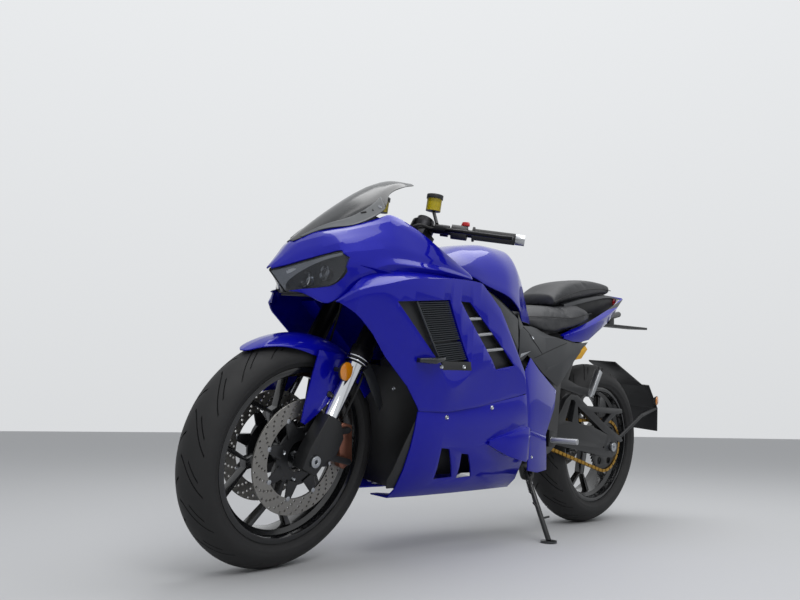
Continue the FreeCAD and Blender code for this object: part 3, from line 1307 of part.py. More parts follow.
def shock_absorber():
    """Spring and damper between the swing arm's bridge and the upper frame tie."""
    low, high = Vec(378, 0, 412), Vec(552, 0, 582)
    along = (high - low).normalize()
    spring = bar(tuple(low + along * 30), tuple(high - along * 40), 27)
    rod = bar(tuple(low - along * 20), tuple(high), 10)
    tie_space = cross_tube((560, 590), 16 + SEAT_GAP, -60, 60)
    return fuse([spring, rod]).cut(tie_space).cut(swing_arm_bridge(SEAT_GAP))


def swing_arm_bridge(extra=0.0):
    """The cross box of the swing arm, or with extra the space round it."""
    return prism([(346 - extra, -ARM_INNER, 338 - extra), (400 + extra, -ARM_INNER, 345 - extra),
                  (400 + extra, -ARM_INNER, 392 + extra), (346 - extra, -ARM_INNER, 402 + extra)],
                 (0, 2 * ARM_INNER, 0))


STAND_PIVOT = Vec(506.0, 118.0, 228.0)
STAND_AXIS = Vec(0, 0.942, 0.335)
STAND_FOOT_X, STAND_FOOT_Y = 528.0, 234.0


def lowest(centre, axle_dir, radius, width):
    """Height of the lowest point of a leaning tyre with a round crown."""
    crown = crown_radius(width)
    tilt = math.sqrt(1 - axle_dir.z ** 2)
    return centre.z - ((radius - crown) * tilt + crown)


def parking_pose():
    """Lean to the left, with the pitch and height that put both tyres on the floor."""
    steer = FreeCAD.Rotation(UP_AXIS, STEER_REST_DEG)
    steered_axle = STEER_POINT + steer.multVec(FRONT_AXLE - STEER_POINT)
    steered_dir = steer.multVec(Y_AXIS)
    pitch = 0.0
    lean = FreeCAD.Rotation(Vec(1, 0, 0), -LEAN_DEG)
    for _ in range(4):
        turn = FreeCAD.Rotation(Y_AXIS, pitch).multiply(lean)
        front = lowest(turn.multVec(steered_axle), turn.multVec(steered_dir), FRONT_TYRE_RADIUS, FRONT_TYRE_WIDTH)
        rear = lowest(turn.multVec(REAR_AXLE), turn.multVec(Y_AXIS), REAR_TYRE_RADIUS, REAR_TYRE_WIDTH)
        pitch += math.degrees(math.atan2(front - rear, WHEELBASE))
    return FreeCAD.Placement(Vec(0, 0, -rear), turn)


POSE = parking_pose()
REAR_TILT_DEG = math.degrees(math.asin(-POSE.Rotation.multVec(Y_AXIS).z))
STEERED = FreeCAD.Placement(Vec(0, 0, 0), FreeCAD.Rotation(UP_AXIS, STEER_REST_DEG), STEER_POINT)
FRONT_TILT_DEG = math.degrees(math.asin(-POSE.Rotation.multVec(STEERED.Rotation.multVec(Y_AXIS)).z))
FLOOR_UP = POSE.Rotation.inverted().multVec(Vec(0, 0, 1))


def floor_angle(turn):
    """Degrees about the axle, from forward towards up, of the direction that points most nearly at the floor."""
    down = turn.inverted().multVec(Vec(0, 0, -1))
    return math.degrees(math.atan2(down.z, down.x))


def floor_under(x, y):
    """The point of the floor straight below x and y, in the upright frame."""
    high = POSE.multVec(Vec(x, y, 0)).z
    return Vec(x, y, -high / FLOOR_UP.z)


def stand_leg():
    """The side stand from its hinge eye to the foot on the floor."""
    floor = floor_under(STAND_FOOT_X, STAND_FOOT_Y)
    foot = Part.makeCylinder(STAND_FOOT_RADIUS, STAND_FOOT_THICKNESS, floor, FLOOR_UP)
    ankle = floor + FLOOR_UP * STAND_FOOT_THICKNESS
    knee = STAND_PIVOT + Vec(3, 14, -34)
    neck = bar(tuple(STAND_PIVOT + Vec(1.2, 5.6, -13.8)), tuple(knee), 5.9)
    leg = fuse([neck, Part.makeSphere(8.5, knee + Vec(0, 1, -3)), bar(tuple(knee + Vec(0, 1, -3)), tuple(ankle), 8.5)])
    eye = Part.makeCylinder(20, 12, STAND_PIVOT - STAND_AXIS * 6, STAND_AXIS)
    solid = fuse([leg, eye, foot])
    below = Part.makeBox(600, 600, 80)
    below.Placement = FreeCAD.Placement(floor, POSE.Rotation.inverted()).multiply(
        FreeCAD.Placement(Vec(-300, -300, -80), FreeCAD.Rotation()))
    solid = solid.cut(below)
    return solid.cut(Part.makeCylinder(6 + RUN_GAP, 40, STAND_PIVOT - STAND_AXIS * 20, STAND_AXIS))


def stand_bracket():
    """Forked bracket and bolt that carry the side stand, below the pivot plate and ahead of its foot's heel."""
    along = STAND_AXIS
    inner = Part.makeCylinder(20, 8, STAND_PIVOT - along * (6 + SEAT_GAP + 8), along)
    outer = Part.makeCylinder(11, 6, STAND_PIVOT + along * (6 + SEAT_GAP), along)
    bolt = Part.makeCylinder(6, 40, STAND_PIVOT - along * 22, along)
    face = PLATE_INNER - SEAT_GAP
    pad = side_prism([(526, 318), (566, 318), (566, 262), (520, 262)], face - 24, face)
    hanger = side_prism([(520, 280), (566, 280), (530, 214), (520, 206), (494, 206), (487, 216), (487, 240)],
                        face - 24, face - 12)
    arm = pad.fuse(hanger)
    arm = arm.cut(Part.makeCylinder(20.5, 2 * (6 + SEAT_GAP), STAND_PIVOT - along * (6 + SEAT_GAP), along))
    return fuse([inner, outer, bolt, arm])


EXPORTS = []


def add(body, name, shape):
    EXPORTS.append((body, name, shape))


def build():
    add("front_wheel", "front_tyre", tyre(FRONT_AXLE, FRONT_TYRE_RADIUS, FRONT_TYRE_WIDTH, FRONT_TILT_DEG,
                                           floor_angle(POSE.Rotation.multiply(STEERED.Rotation))))
    add("front_wheel", "front_rim", rim(FRONT_AXLE, FRONT_TYRE_WIDTH * 0.72, FRONT_HUB_RADIUS, FRONT_HUB_HALF,
                                        FRONT_AXLE_RADIUS + RUN_GAP, 5, 60))
    add("front_wheel", "front_discs", Part.makeCompound([
        brake_disc(FRONT_AXLE, DISC_RADIUS, DISC_INNER_RADIUS, DISC_OFFSET, 60, 1, FRONT_HUB_HALF, FRONT_HUB_RADIUS),
        brake_disc(FRONT_AXLE, DISC_RADIUS, DISC_INNER_RADIUS, DISC_OFFSET, 60, -1, FRONT_HUB_HALF, FRONT_HUB_RADIUS)]))
    add("rear_wheel", "rear_tyre", tyre(REAR_AXLE, REAR_TYRE_RADIUS, REAR_TYRE_WIDTH, REAR_TILT_DEG,
                                         floor_angle(POSE.Rotation)))
    add("rear_wheel", "rear_rim", rim(REAR_AXLE, REAR_TYRE_WIDTH * 0.72, REAR_HUB_RADIUS, REAR_HUB_HALF,
                                      REAR_AXLE_RADIUS + RUN_GAP, 5, 60))
    add("rear_wheel", "rear_sprocket", rear_sprocket())
    add("rear_wheel", "rear_disc", brake_disc(REAR_AXLE, REAR_DISC_RADIUS, 76, REAR_DISC_OFFSET, 52, -1, REAR_HUB_HALF,
                                              REAR_HUB_RADIUS))
    add("steering", "fork_legs", pair(fork_leg()))
    add("steering", "yokes", yokes())
    add("steering", "front_axle", front_axle_set())
    add("steering", "handlebars", pair(clip_on()))
    add("steering", "switch_housings", pair(switch_housing()))
    add("steering", "grips", pair(grip()))
    add("steering", "brake_levers", pair(lever_set()))
    add("steering", "fluid_pots", pair(fluid_pot()))
    add("steering", "front_mudguard", front_mudguard())
    add("steering", "front_reflectors", front_reflectors())
    add("steering", "fork_fins", fork_fins())
    add("steering", "brake_hoses", brake_hoses())
    add("steering", "front_calipers", Part.makeCompound([
        caliper(FRONT_AXLE, DISC_RADIUS, DISC_OFFSET, 192, 1), caliper(FRONT_AXLE, DISC_RADIUS, DISC_OFFSET, 192, -1)]))
    add("frame", "main_frame", main_frame())
    add("frame", "subframe", subframe())
    add("frame", "battery_box", battery_box())
    add("frame", "drive_motor", drive_motor())
    add("frame", "swing_arm", swing_arm())
    add("frame", "rear_axle", rear_axle_set())
    add("frame", "chain", chain())
    add("frame", "nose_cowl", nose_cowl())
    add("frame", "headlamps", headlamps())
    add("frame", "windscreen", windscreen())
    add("frame", "screen_brackets", screen_brackets())
    fairing = side_fairing()
    add("frame", "side_fairing_left", fairing)
    add("frame", "side_fairing_right", mirrored(fairing))
    belly = belly_pan()
    add("frame", "belly_pan_left", belly)
    add("frame", "belly_pan_right", mirrored(belly))
    add("frame", "air_grilles", pair(Part.makeCompound([grille_tray(), slot_tray()])))
    add("frame", "indicators", indicators())
    add("frame", "inner_panels", Part.makeCompound(inner_panels()))
    add("frame", "tank_cover", tank_cover())
    add("frame", "side_trims", pair(trim()))
    add("frame", "side_covers", pair(side_cover()))
    add("frame", "pivot_covers", pair(pivot_cover()))
    rider, pillion = seats()
    add("frame", "rider_seat", rider)
    add("frame", "pillion_seat", pillion)
    add("frame", "tail_cowl", tail_cowl())
    add("frame", "tail_lamp", tail_lamp())
    add("frame", "rear_reflectors", rear_reflectors())
    add("frame", "plate_holder", plate_holder())
    add("frame", "rear_guard", rear_guard())
    add("frame", "front_stay", front_stay())
    add("frame", "rider_pegs", rider_pegs())
    add("frame", "pillion_pegs", pillion_pegs())
    add("frame", "shock_absorber", shock_absorber())
    add("frame", "rear_caliper", rear_caliper())
    add("side_stand", "side_stand", stand_leg())
    add("frame", "stand_bracket", stand_bracket())


def place_bodies():
    """Steer the front assembly, park the bike and put the middle of its box at the origin."""
    placed = []
    for body, name, shape in EXPORTS:
        shape = shape.copy()
        if body in ("steering", "front_wheel"):
            shape.Placement = STEERED.multiply(shape.Placement)
        shape.Placement = POSE.multiply(shape.Placement)
        placed.append((body, name, shape))
    box = FreeCAD.BoundBox()
    for _, _, shape in placed:
        box.add(shape.BoundBox)
    shift = Vec(-(box.XMin + box.XMax) / 2, -(box.YMin + box.YMax) / 2, 0)
    for _, _, shape in placed:
        shape.translate(shift)
    return placed, shift


def report_point(label, point, direction, shift, steered=False):
    if steered:
        point, direction = STEERED.multVec(point), STEERED.Rotation.multVec(direction)
    point, direction = POSE.multVec(point) + shift, POSE.Rotation.multVec(direction)
    print("FRAME", label, *(f"{v:.5f}" for v in (*(point / 1000), *direction)))


def export():
    os.makedirs("parts", exist_ok=True)
    placed, shift = place_bodies()
    for body, name, shape in placed:
        shape.exportStep(f"parts/{name}.step")
        print("NODE", body, name, len(shape.Solids), f"{shape.Volume / 1e6:.4f}")
    report_point("steering", STEER_POINT + UP_AXIS * (LOWER_YOKE + 90), UP_AXIS, shift)
    report_point("front_wheel_spin", FRONT_AXLE, Y_AXIS, shift, steered=True)
    report_point("rear_wheel_spin", REAR_AXLE, Y_AXIS, shift)
    report_point("stand_fold", STAND_PIVOT, STAND_AXIS, shift)
    report_point("front_spindle_bore", FRONT_AXLE, Y_AXIS, shift, steered=True)
    report_point("rear_spindle_bore", REAR_AXLE, Y_AXIS, shift)
    for name, side in (("left", 1), ("right", -1)):
        bobbin = Vec(BOBBIN_SPOT[0], side * (ARM_OUTER - BOBBIN_DEPTH / 2), BOBBIN_SPOT[1])
        report_point(f"bobbin_hole_{name}", bobbin, Y_AXIS * side, shift)
        report_point(f"plate_hole_{name}", plate_hole(side), PLATE_NORMAL, shift)
        finger = bar_point(195, 35, -3)
        report_point(f"finger_gap_{name}", Vec(finger.x, side * finger.y, finger.z), Y_AXIS, shift, steered=True)
    print("SHIFT", *(f"{v:.3f}" for v in shift))


build()
export()
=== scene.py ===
import json
import math

import bmesh
import bpy
from mathutils import Matrix, Vector
from mathutils.bvhtree import BVHTree

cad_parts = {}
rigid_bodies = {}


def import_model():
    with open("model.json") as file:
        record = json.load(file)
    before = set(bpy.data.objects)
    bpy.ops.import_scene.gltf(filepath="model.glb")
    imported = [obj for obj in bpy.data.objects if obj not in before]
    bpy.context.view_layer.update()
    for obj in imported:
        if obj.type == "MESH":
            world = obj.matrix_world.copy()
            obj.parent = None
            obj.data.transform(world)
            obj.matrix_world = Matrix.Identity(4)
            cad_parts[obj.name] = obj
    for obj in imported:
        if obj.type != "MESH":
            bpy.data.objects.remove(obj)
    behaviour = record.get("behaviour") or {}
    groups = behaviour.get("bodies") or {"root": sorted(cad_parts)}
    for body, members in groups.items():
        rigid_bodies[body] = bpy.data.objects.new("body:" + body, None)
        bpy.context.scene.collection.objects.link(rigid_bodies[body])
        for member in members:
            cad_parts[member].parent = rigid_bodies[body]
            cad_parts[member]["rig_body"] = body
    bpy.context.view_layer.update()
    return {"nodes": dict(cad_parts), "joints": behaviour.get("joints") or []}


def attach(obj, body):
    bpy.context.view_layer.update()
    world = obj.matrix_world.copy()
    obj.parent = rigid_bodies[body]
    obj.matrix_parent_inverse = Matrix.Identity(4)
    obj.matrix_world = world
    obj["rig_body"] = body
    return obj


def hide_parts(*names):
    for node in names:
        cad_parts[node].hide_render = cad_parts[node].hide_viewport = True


# A sport bike on its side stand. Shapes are drawn upright in millimetres, with +X forward, +Y to the
# rider's left, +Z up and x = 0 at the rear axle, and are then leaned, steered and put in metres.

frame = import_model()

# Sizes that the looks share with the solids, in millimetres
WHEELBASE = 1405.0
FRONT_TYRE_RADIUS = 298.0
FRONT_TYRE_WIDTH = 118.0
REAR_TYRE_RADIUS = 314.0
REAR_TYRE_WIDTH = 158.0
BEAD_RADIUS = 219.0
RAKE = math.radians(24.5)
LEG_Y = 100.0
PANEL = 4.0
DISC_RADIUS = 148.0
DISC_INNER = 106.0
DISC_Y = 66.0
DISC_WALL = 5.0
FRONT_HUB_FACE = 58.0
STAND_PIVOT = Vector((506, 118, 228))
FRONT_AXLE = Vector((WHEELBASE, 0, FRONT_TYRE_RADIUS))
REAR_AXLE = Vector((0, 0, REAR_TYRE_RADIUS))
UP_AXIS = Vector((-math.sin(RAKE), 0, math.cos(RAKE)))
BAR_ROOT = FRONT_AXLE + UP_AXIS * 724.0 + Vector((0, LEG_Y, 0))
BAR_SWEEP = Vector((-0.50, 0.866, -0.01)).normalized()


def placement(axle_joint, axle):
    """The matrix from upright millimetres to the parked bike, from a wheel's axle and the steering axis."""
    joints = {j["name"]: j for j in frame["joints"]}
    side = Vector(joints[axle_joint]["axis"]).normalized()
    up = Vector(joints["steering"]["axis"]).normalized()
    ahead = side.cross(up).normalized()
    x_dir = ahead * math.cos(RAKE) - up * math.sin(RAKE)
    z_dir = ahead * math.sin(RAKE) + up * math.cos(RAKE)
    turn = Matrix((x_dir, side, z_dir)).transposed()
    move = Vector(joints[axle_joint]["pos_m"]) - turn @ (axle * 0.001)
    return Matrix.Translation(move) @ turn.to_4x4() @ Matrix.Scale(0.001, 4)


PARKED = placement("rear_wheel_spin", REAR_AXLE)
STEERED = placement("front_wheel_spin", FRONT_AXLE)


def place_of(body):
    """The matrix that puts an upright drawing on its body."""
    return STEERED if body in ("steering", "front_wheel") else PARKED


# Camera

CAMERA_SPOT = (1.67349, 1.3854, 0.3456)
CAMERA_YAW = math.radians(-131.63)
CAMERA_PITCH = math.radians(11.73)
CAMERA_ROLL = 0.0104
FOCAL_PIXELS = 630.7
PHOTO_WIDTH = 800
SENSOR_WIDTH = 36.0


def look():
    """The photograph's place, direction and field of view."""
    flat = Vector((math.cos(CAMERA_YAW), math.sin(CAMERA_YAW), 0))
    ahead = flat * math.cos(CAMERA_PITCH) + Vector((0, 0, math.sin(CAMERA_PITCH)))
    level = Vector((math.sin(CAMERA_YAW), -math.cos(CAMERA_YAW), 0))
    up = level.cross(ahead)
    right = level * math.cos(CAMERA_ROLL) + up * math.sin(CAMERA_ROLL)
    top = up * math.cos(CAMERA_ROLL) - level * math.sin(CAMERA_ROLL)
    data = bpy.data.cameras.new("view")
    data.sensor_width = SENSOR_WIDTH
    data.lens = FOCAL_PIXELS / PHOTO_WIDTH * SENSOR_WIDTH
    data.clip_end = 200.0
    camera = bpy.data.objects.new("view", data)
    turn = Matrix((right, top, -ahead)).transposed().to_4x4()
    camera.matrix_world = Matrix.Translation(CAMERA_SPOT) @ turn
    bpy.context.scene.collection.objects.link(camera)
    bpy.context.scene.camera = camera


look()


# Materials

def colour(code):
    """A hex sRGB colour as linear red, green, blue and alpha."""
    parts = [int(code[i:i + 2], 16) / 255 for i in (1, 3, 5)]
    return [c / 12.92 if c <= 0.04045 else ((c + 0.055) / 1.055) ** 2.4 for c in parts] + [1.0]


def add(tree, kind, inputs=None, **settings):
    """Adds a node with its settings, and with its inputs set to values or joined to other sockets."""
    new = tree.nodes.new(kind)
    for name, value in settings.items():
        setattr(new, name, value)
    for name, value in (inputs or {}).items():
        if isinstance(value, bpy.types.NodeSocket):
            tree.links.new(value, new.inputs[name])
        else:
            new.inputs[name].default_value = value
    return new


def embossed(tree, height, strength, distance):
    """Gives a material's surface a relief. distance is in metres."""
    relief = add(tree, "ShaderNodeBump", {"Height": height, "Strength": strength, "Distance": distance})
    tree.links.new(relief.outputs["Normal"], tree.nodes["Principled BSDF"].inputs["Normal"])


def finish(name, base, metallic=0.0, roughness=0.5, grain=1.0, bump=0.1, spread=0.08, darker=0.85, height=0.1,
           **more):
    """A finish with mottled colour and gloss and a fine grain. grain and height are in millimetres."""
    material = bpy.data.materials.new(name)
    material.use_nodes = True
    tree = material.node_tree
    shader = tree.nodes["Principled BSDF"]
    place = add(tree, "ShaderNodeTexCoord").outputs["Object"]
    noise = "ShaderNodeTexNoise"
    patches = add(tree, noise, {"Vector": place, "Scale": 28.0, "Detail": 4.0}).outputs["Fac"]
    fine = add(tree, noise, {"Vector": place, "Scale": 1000.0 / grain, "Detail": 3.0}).outputs["Fac"]
    dark = [c * darker for c in colour(base)[:3]] + [1.0]
    mix = add(tree, "ShaderNodeMix", {"Factor": patches, "A": dark, "B": colour(base)}, data_type="RGBA")
    tree.links.new(mix.outputs["Result"], shader.inputs["Base Color"])
    gloss = add(tree, "ShaderNodeMapRange", {"Value": patches, "To Min": max(roughness - spread, 0.02),
                                             "To Max": roughness + spread})
    tree.links.new(gloss.outputs["Result"], shader.inputs["Roughness"])
    shader.inputs["Metallic"].default_value = metallic
    embossed(tree, fine, bump, height * 0.001)
    for socket, value in more.items():
        shader.inputs[socket.replace("_", " ")].default_value = value
    return material


def ringed(material, centre, pitch, strength):
    """Fine turned rings about a point, such as a lathe or a grinder leaves. pitch is in millimetres."""
    tree = material.node_tree
    place = add(tree, "ShaderNodeTexCoord").outputs["Object"]
    span = add(tree, "ShaderNodeVectorMath", {0: place, 1: tuple(centre)}, operation="DISTANCE")
    lines = add(tree, "ShaderNodeTexNoise", noise_dimensions="1D",
                inputs={"W": span.outputs["Value"], "Scale": 1000.0 / pitch, "Detail": 2.0})
    embossed(tree, lines.outputs["Fac"], strength, 0.0002)
    return material


def leather(name, base):
    """Embossed vinyl: pebbles about 1.6 mm across with soft valleys, a little coarse so that they show."""
    material = finish(name, base, roughness=0.52, spread=0.06)
    tree = material.node_tree
    place = add(tree, "ShaderNodeTexCoord").outputs["Object"]
    pebbles = add(tree, "ShaderNodeTexVoronoi", {"Vector": place, "Scale": 620.0}, feature="SMOOTH_F1")
    wide = add(tree, "ShaderNodeTexNoise", {"Vector": place, "Scale": 60.0, "Detail": 3.0})
    both = add(tree, "ShaderNodeMath", {0: pebbles.outputs["Distance"], 1: wide.outputs["Fac"]},
               operation="ADD")
    embossed(tree, both.outputs["Value"], 0.35, 0.0006)
    return material


# Two-layer automotive lacquer: a blue base with fine pearl under a clear coat, so it is deep in the shade
LACQUER = finish("blue automotive lacquer", "#090B9C", metallic=0.1, roughness=0.3, grain=0.35, bump=0.03,
                 spread=0.03, darker=0.9, height=0.03, Specular_IOR_Level=0.05, Coat_Weight=1.0,
                 Coat_Roughness=0.02, Coat_IOR=1.34)
# Powder coat on steel and cast aluminium: satin, with a faint orange peel
POWDER = finish("black powder coat", "#17181A", roughness=0.36, grain=2.2, bump=0.12, spread=0.06)
# Gloss black stoved enamel on the cast wheels
ENAMEL = finish("black wheel enamel", "#101113", roughness=0.24, grain=3.0, bump=0.05, Coat_Weight=0.5,
                Coat_Roughness=0.1)
# Hard-anodised aluminium of the fork tubes and clamps: dark, with a dull metal sheen
ANODISED = finish("black anodised aluminium", "#1B1B1E", metallic=0.75, roughness=0.34, grain=0.6, bump=0.06)
# Sand-cast black enamel of the fork's feet, rough from the mould
CAST_BLACK = finish("black cast aluminium enamel", "#141517", roughness=0.46, grain=1.6, bump=0.22,
                    spread=0.06)
# Hard chrome on the fork sliders: a bright ground cylinder
CHROME = finish("hard chrome", "#D9DBDE", metallic=1.0, roughness=0.1, grain=1.5, bump=0.02, spread=0.03,
                darker=0.97)
# Ground stainless steel of the discs: grey and satin
STEEL = finish("ground stainless steel", "#918F8B", metallic=0.9, roughness=0.42, grain=0.5, bump=0.08)
# Zinc-plated screws and axle nuts: pale and bright
ZINC = finish("zinc plated steel", "#B4B7BB", metallic=1.0, roughness=0.28, grain=0.8, bump=0.05)
# Titanium-gold coating on the chain's plates
GOLD = finish("gold coated chain steel", "#B98F3A", metallic=1.0, roughness=0.36, grain=0.7, bump=0.08,
              darker=0.7)
# Bronze lacquer on the cast calipers
BRONZE = finish("bronze caliper lacquer", "#8A5B4A", metallic=0.75, roughness=0.34, grain=1.2, bump=0.06)
# Machined aluminium with a satin brush
ALUMINIUM = finish("brushed aluminium", "#B9BBBE", metallic=1.0, roughness=0.32, grain=0.5, bump=0.08)
# Moulded ABS with a spark-eroded grain
ABS = finish("grained black ABS", "#1A1B1D", roughness=0.5, grain=0.9, bump=0.25, spread=0.07)
# Smooth dark grey ABS of the trims
GREY_ABS = finish("dark grey satin ABS", "#2E3033", roughness=0.42, grain=1.1, bump=0.15, spread=0.05)
# Smoked polycarbonate: dark and glossy, with a hint of what is close behind it
SMOKED = finish("smoked polycarbonate", "#222427", roughness=0.17, grain=4.0, bump=0.01, spread=0.03,
                Transmission_Weight=0.04, IOR=1.58)
# Moulded acrylic of the lamps' outer lenses, lightly smoked
LENS = finish("smoked acrylic lens", "#B2B5BA", roughness=0.02, grain=6.0, bump=0.0, spread=0.0,
              Transmission_Weight=0.96, IOR=1.3)
# Amber acrylic of the reflectors, with a rippled prismatic back
AMBER = finish("amber acrylic", "#F49510", roughness=0.16, grain=2.4, bump=0.5, spread=0.04, darker=0.7,
               Transmission_Weight=0.15, Coat_Weight=0.8, Coat_Roughness=0.05)
# Red acrylic of the tail lamp, glossy over its ripples
RED = finish("red acrylic", "#B00C10", roughness=0.15, grain=2.4, bump=0.3, spread=0.04, darker=0.75,
             Coat_Weight=0.8, Coat_Roughness=0.05)
# Translucent polypropylene of the fluid pots, yellowed by the brake fluid
FLUID = finish("polypropylene with brake fluid", "#D8C21E", roughness=0.2, grain=3.0, bump=0.05,
               Transmission_Weight=0.45, IOR=1.49)
# Tyre rubber: matt, dusty on the flanks
RUBBER = finish("tyre rubber", "#1C1C1D", roughness=0.72, grain=1.4, bump=0.25, spread=0.1, darker=0.72)
# Moulded rubber of the grips and hoses, and the sewn cord of the seats
SOFT_RUBBER = finish("grip rubber", "#161617", roughness=0.66, grain=1.0, bump=0.3, spread=0.06)
# Embossed vinyl of the seats
VINYL = leather("embossed black vinyl", "#2A2B2E")
# Moulded coloured plastics of the stop switch and of the tab at the tail
RED_PLASTIC = finish("red switch plastic", "#C01A1E", roughness=0.35, grain=1.5, bump=0.1)
YELLOW_PLASTIC = finish("yellow plastic", "#E0A818", roughness=0.4, grain=1.5, bump=0.1)
# Matt black moulding of the lamps' seals and the covers' seams, also used as painted shade for the band's
# holes, where no light comes back
BLACK_HOLE = finish("unlit black plastic", "#08080A", roughness=0.7, grain=1.5, bump=0.1)
# Frosted acrylic light guide: pale, with a faint light of its own
GLOW = finish("frosted light guide", "#C9CCD0", roughness=0.3, grain=2.0, bump=0.1, Emission_Strength=0.12,
              Emission_Color=colour("#E8EEF5"))
# Satin moulding of the strip under the screen
SATIN = finish("satin grey moulding", "#55585B", roughness=0.33, grain=1.0, bump=0.08, spread=0.04)
# Smooth grey moulding inside the lamps
LAMP_GREY = finish("grey lamp moulding", "#606368", roughness=0.32, grain=2.5, bump=0.05, spread=0.04)
# Dark louvres, a shade greyer than the pans behind them
LOUVRE = finish("dark grey louvre plastic", "#34383C", roughness=0.38, grain=1.2, bump=0.1, spread=0.05)


# Helpers for curves and tables

def steady_curve(xs, values, x):
    """A smooth curve through values that never overshoots them."""
    steps = [(b - a) for a, b in zip(xs, xs[1:])]
    slopes = [(b - a) / h for a, b, h in zip(values, values[1:], steps)]
    tangents = [slopes[0]]
    for left, right in zip(slopes, slopes[1:]):
        tangents.append(0.0 if left * right <= 0 else 2 * left * right / (left + right))
    tangents.append(slopes[-1])
    i = max(0, min(len(steps) - 1, sum(1 for k in xs[1:-1] if k <= x)))
    h = steps[i]
    t = (x - xs[i]) / h
    return ((1 + 2 * t) * (1 - t) ** 2 * values[i] + t * (1 - t) ** 2 * h * tangents[i]
            + t * t * (3 - 2 * t) * values[i + 1] - t * t * (1 - t) * h * tangents[i + 1])


def line_at(rows, x):
    """The (y, z) line of a table at x, on smooth curves through its rows."""
    xs = [row[0] for row in rows]
    return [tuple(steady_curve(xs, [row[1][i][axis] for row in rows], x) for axis in (0, 1))
            for i in range(len(rows[0][1]))]


def smooth_rows(rows, spacing):
    """Lines of (x, y, z) points at even spacing, on smooth curves through the rows' own points."""
    rows = sorted(rows)
    low, high = rows[0][0], rows[-1][0]
    count = max(2, int(round((high - low) / spacing)))
    stations = [low + (high - low) * k / count for k in range(count + 1)]
    return [[(x, y, z) for y, z in line_at(rows, x)] for x in stations]


def skin_y(table, x, z):
    """How far out the smooth skin of a table reaches at x and z."""
    line = line_at(sorted(table), x)
    for (y0, z0), (y1, z1) in zip(line, line[1:]):
        if min(z0, z1) <= z <= max(z0, z1):
            return y0 + (y1 - y0) * (z - z0) / (z1 - z0)
    return line[0][0] if z > line[0][1] else line[-1][0]


def on_table(table, x, z):
    """The point of a table's skin at x and z."""
    return Vector((x, skin_y(table, x, z), z))


def finer(line, parts):
    """The line with each run divided into equal parts."""
    points = []
    for a, b in zip(line, line[1:]):
        a, b = Vector(a), Vector(b)
        points += [a.lerp(b, k / parts) for k in range(parts)]
    return points + [Vector(line[-1])]


def lengths_along(line):
    """The length of a line up to each of its points."""
    lengths = [0.0]
    for a, b in zip(line, line[1:]):
        lengths.append(lengths[-1] + math.dist(a, b))
    return lengths


def run_at(lengths, length):
    """Which run of a line holds a length along it, and the share of that run that is passed."""
    i = max(j for j in range(len(lengths) - 1) if lengths[j] <= max(length, 0))
    return i, (length - lengths[i]) / (lengths[i + 1] - lengths[i])


def rounded(line, parts):
    """A (y, z) line redrawn as a smooth curve through its points."""
    spans = lengths_along(line)
    ys, zs = [p[0] for p in line], [p[1] for p in line]
    result = []
    for k in range(parts * (len(line) - 1) + 1):
        i, rest = divmod(k, parts)
        s = spans[-1] if i >= len(line) - 1 else spans[i] + (spans[i + 1] - spans[i]) * rest / parts
        result.append((steady_curve(spans, ys, s), steady_curve(spans, zs, s)))
    return result


def whole(table):
    """Half lines made whole across the bike."""
    return [(x, [(-y, z) for y, z in reversed(half) if y > 0] + half) for x, half in table]


def shifted(table, out):
    """A table with its lines moved outwards."""
    return [(x, [(y + out, z) for y, z in line]) for x, line in table]


def polar(axle, radius, degrees, y):
    """A point about an axle."""
    a = math.radians(degrees)
    return axle + Vector((radius * math.cos(a), y, radius * math.sin(a)))


# Helpers that make and change drawings

def loose_object(bm, name):
    """Ends a drawing as a plain object."""
    mesh = bpy.data.meshes.new(name)
    bm.to_mesh(mesh)
    bm.free()
    one = bpy.data.objects.new(name, mesh)
    bpy.context.scene.collection.objects.link(one)
    return one


def new_piece(bm, name, material, body, *nodes, slot=None, sharp=35.0, recalc=False, upright=True):
    """Ends a drawing as an object that rides on a body and stands for CAD nodes."""
    if recalc:
        bmesh.ops.recalc_face_normals(bm, faces=bm.faces)
    piece = loose_object(bm, name)
    mesh = piece.data
    if upright:
        mesh.transform(place_of(body))
    for polygon in mesh.polygons:
        polygon.use_smooth = True
    mesh.set_sharp_from_angle(angle=math.radians(sharp))
    for one in (material if isinstance(material, tuple) else (material,)):
        mesh.materials.append(one)
    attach(piece, body)
    if nodes:
        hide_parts(*nodes)
    return piece


def crisp_edges(bm, angle):
    """The edges where two faces meet at more than an angle."""
    return [e for e in bm.edges if len(e.link_faces) == 2 and e.calc_face_angle(0) > angle]


def eased(bm, edges, width, clamp=True):
    """Rounds edges off with two facets each."""
    bmesh.ops.bevel(bm, geom=edges, offset=width, offset_type="OFFSET", segments=2, profile=0.5,
                    affect="EDGES", material=-1, clamp_overlap=clamp)


def merged_node(node):
    """A copy of a CAD node's mesh with its doubles merged."""
    bm = bmesh.new()
    bm.from_mesh(frame["nodes"][node].data)
    bmesh.ops.remove_doubles(bm, verts=bm.verts, dist=2e-6)
    return bm


def joined_flats(bm, degrees):
    """Joins faces that lie flat to within an angle."""
    bmesh.ops.dissolve_limit(bm, angle_limit=math.radians(degrees), verts=bm.verts, edges=bm.edges)


def dressed(node, material, edge, rule=None):
    """The CAD node's own shape with its sharp edges eased. edge is in millimetres.

    rule gives the number of the material at a point of the upright bike.
    """
    bm = merged_node(node)
    joined_flats(bm, 0.8)
    body = frame["nodes"][node]["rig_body"]
    if rule:
        upright = place_of(body).inverted()
        for face in bm.faces:
            face.material_index = rule(upright @ face.calc_center_median())
    if edge:
        eased(bm, crisp_edges(bm, math.radians(35.0)), edge * 0.001)
    new_piece(bm, node + "_finished", material, body, node, upright=False)


def taken(into, part):
    """Moves one drawing into another."""
    mesh = bpy.data.meshes.new("part")
    part.to_mesh(mesh)
    part.free()
    into.from_mesh(mesh)
    bpy.data.meshes.remove(mesh)


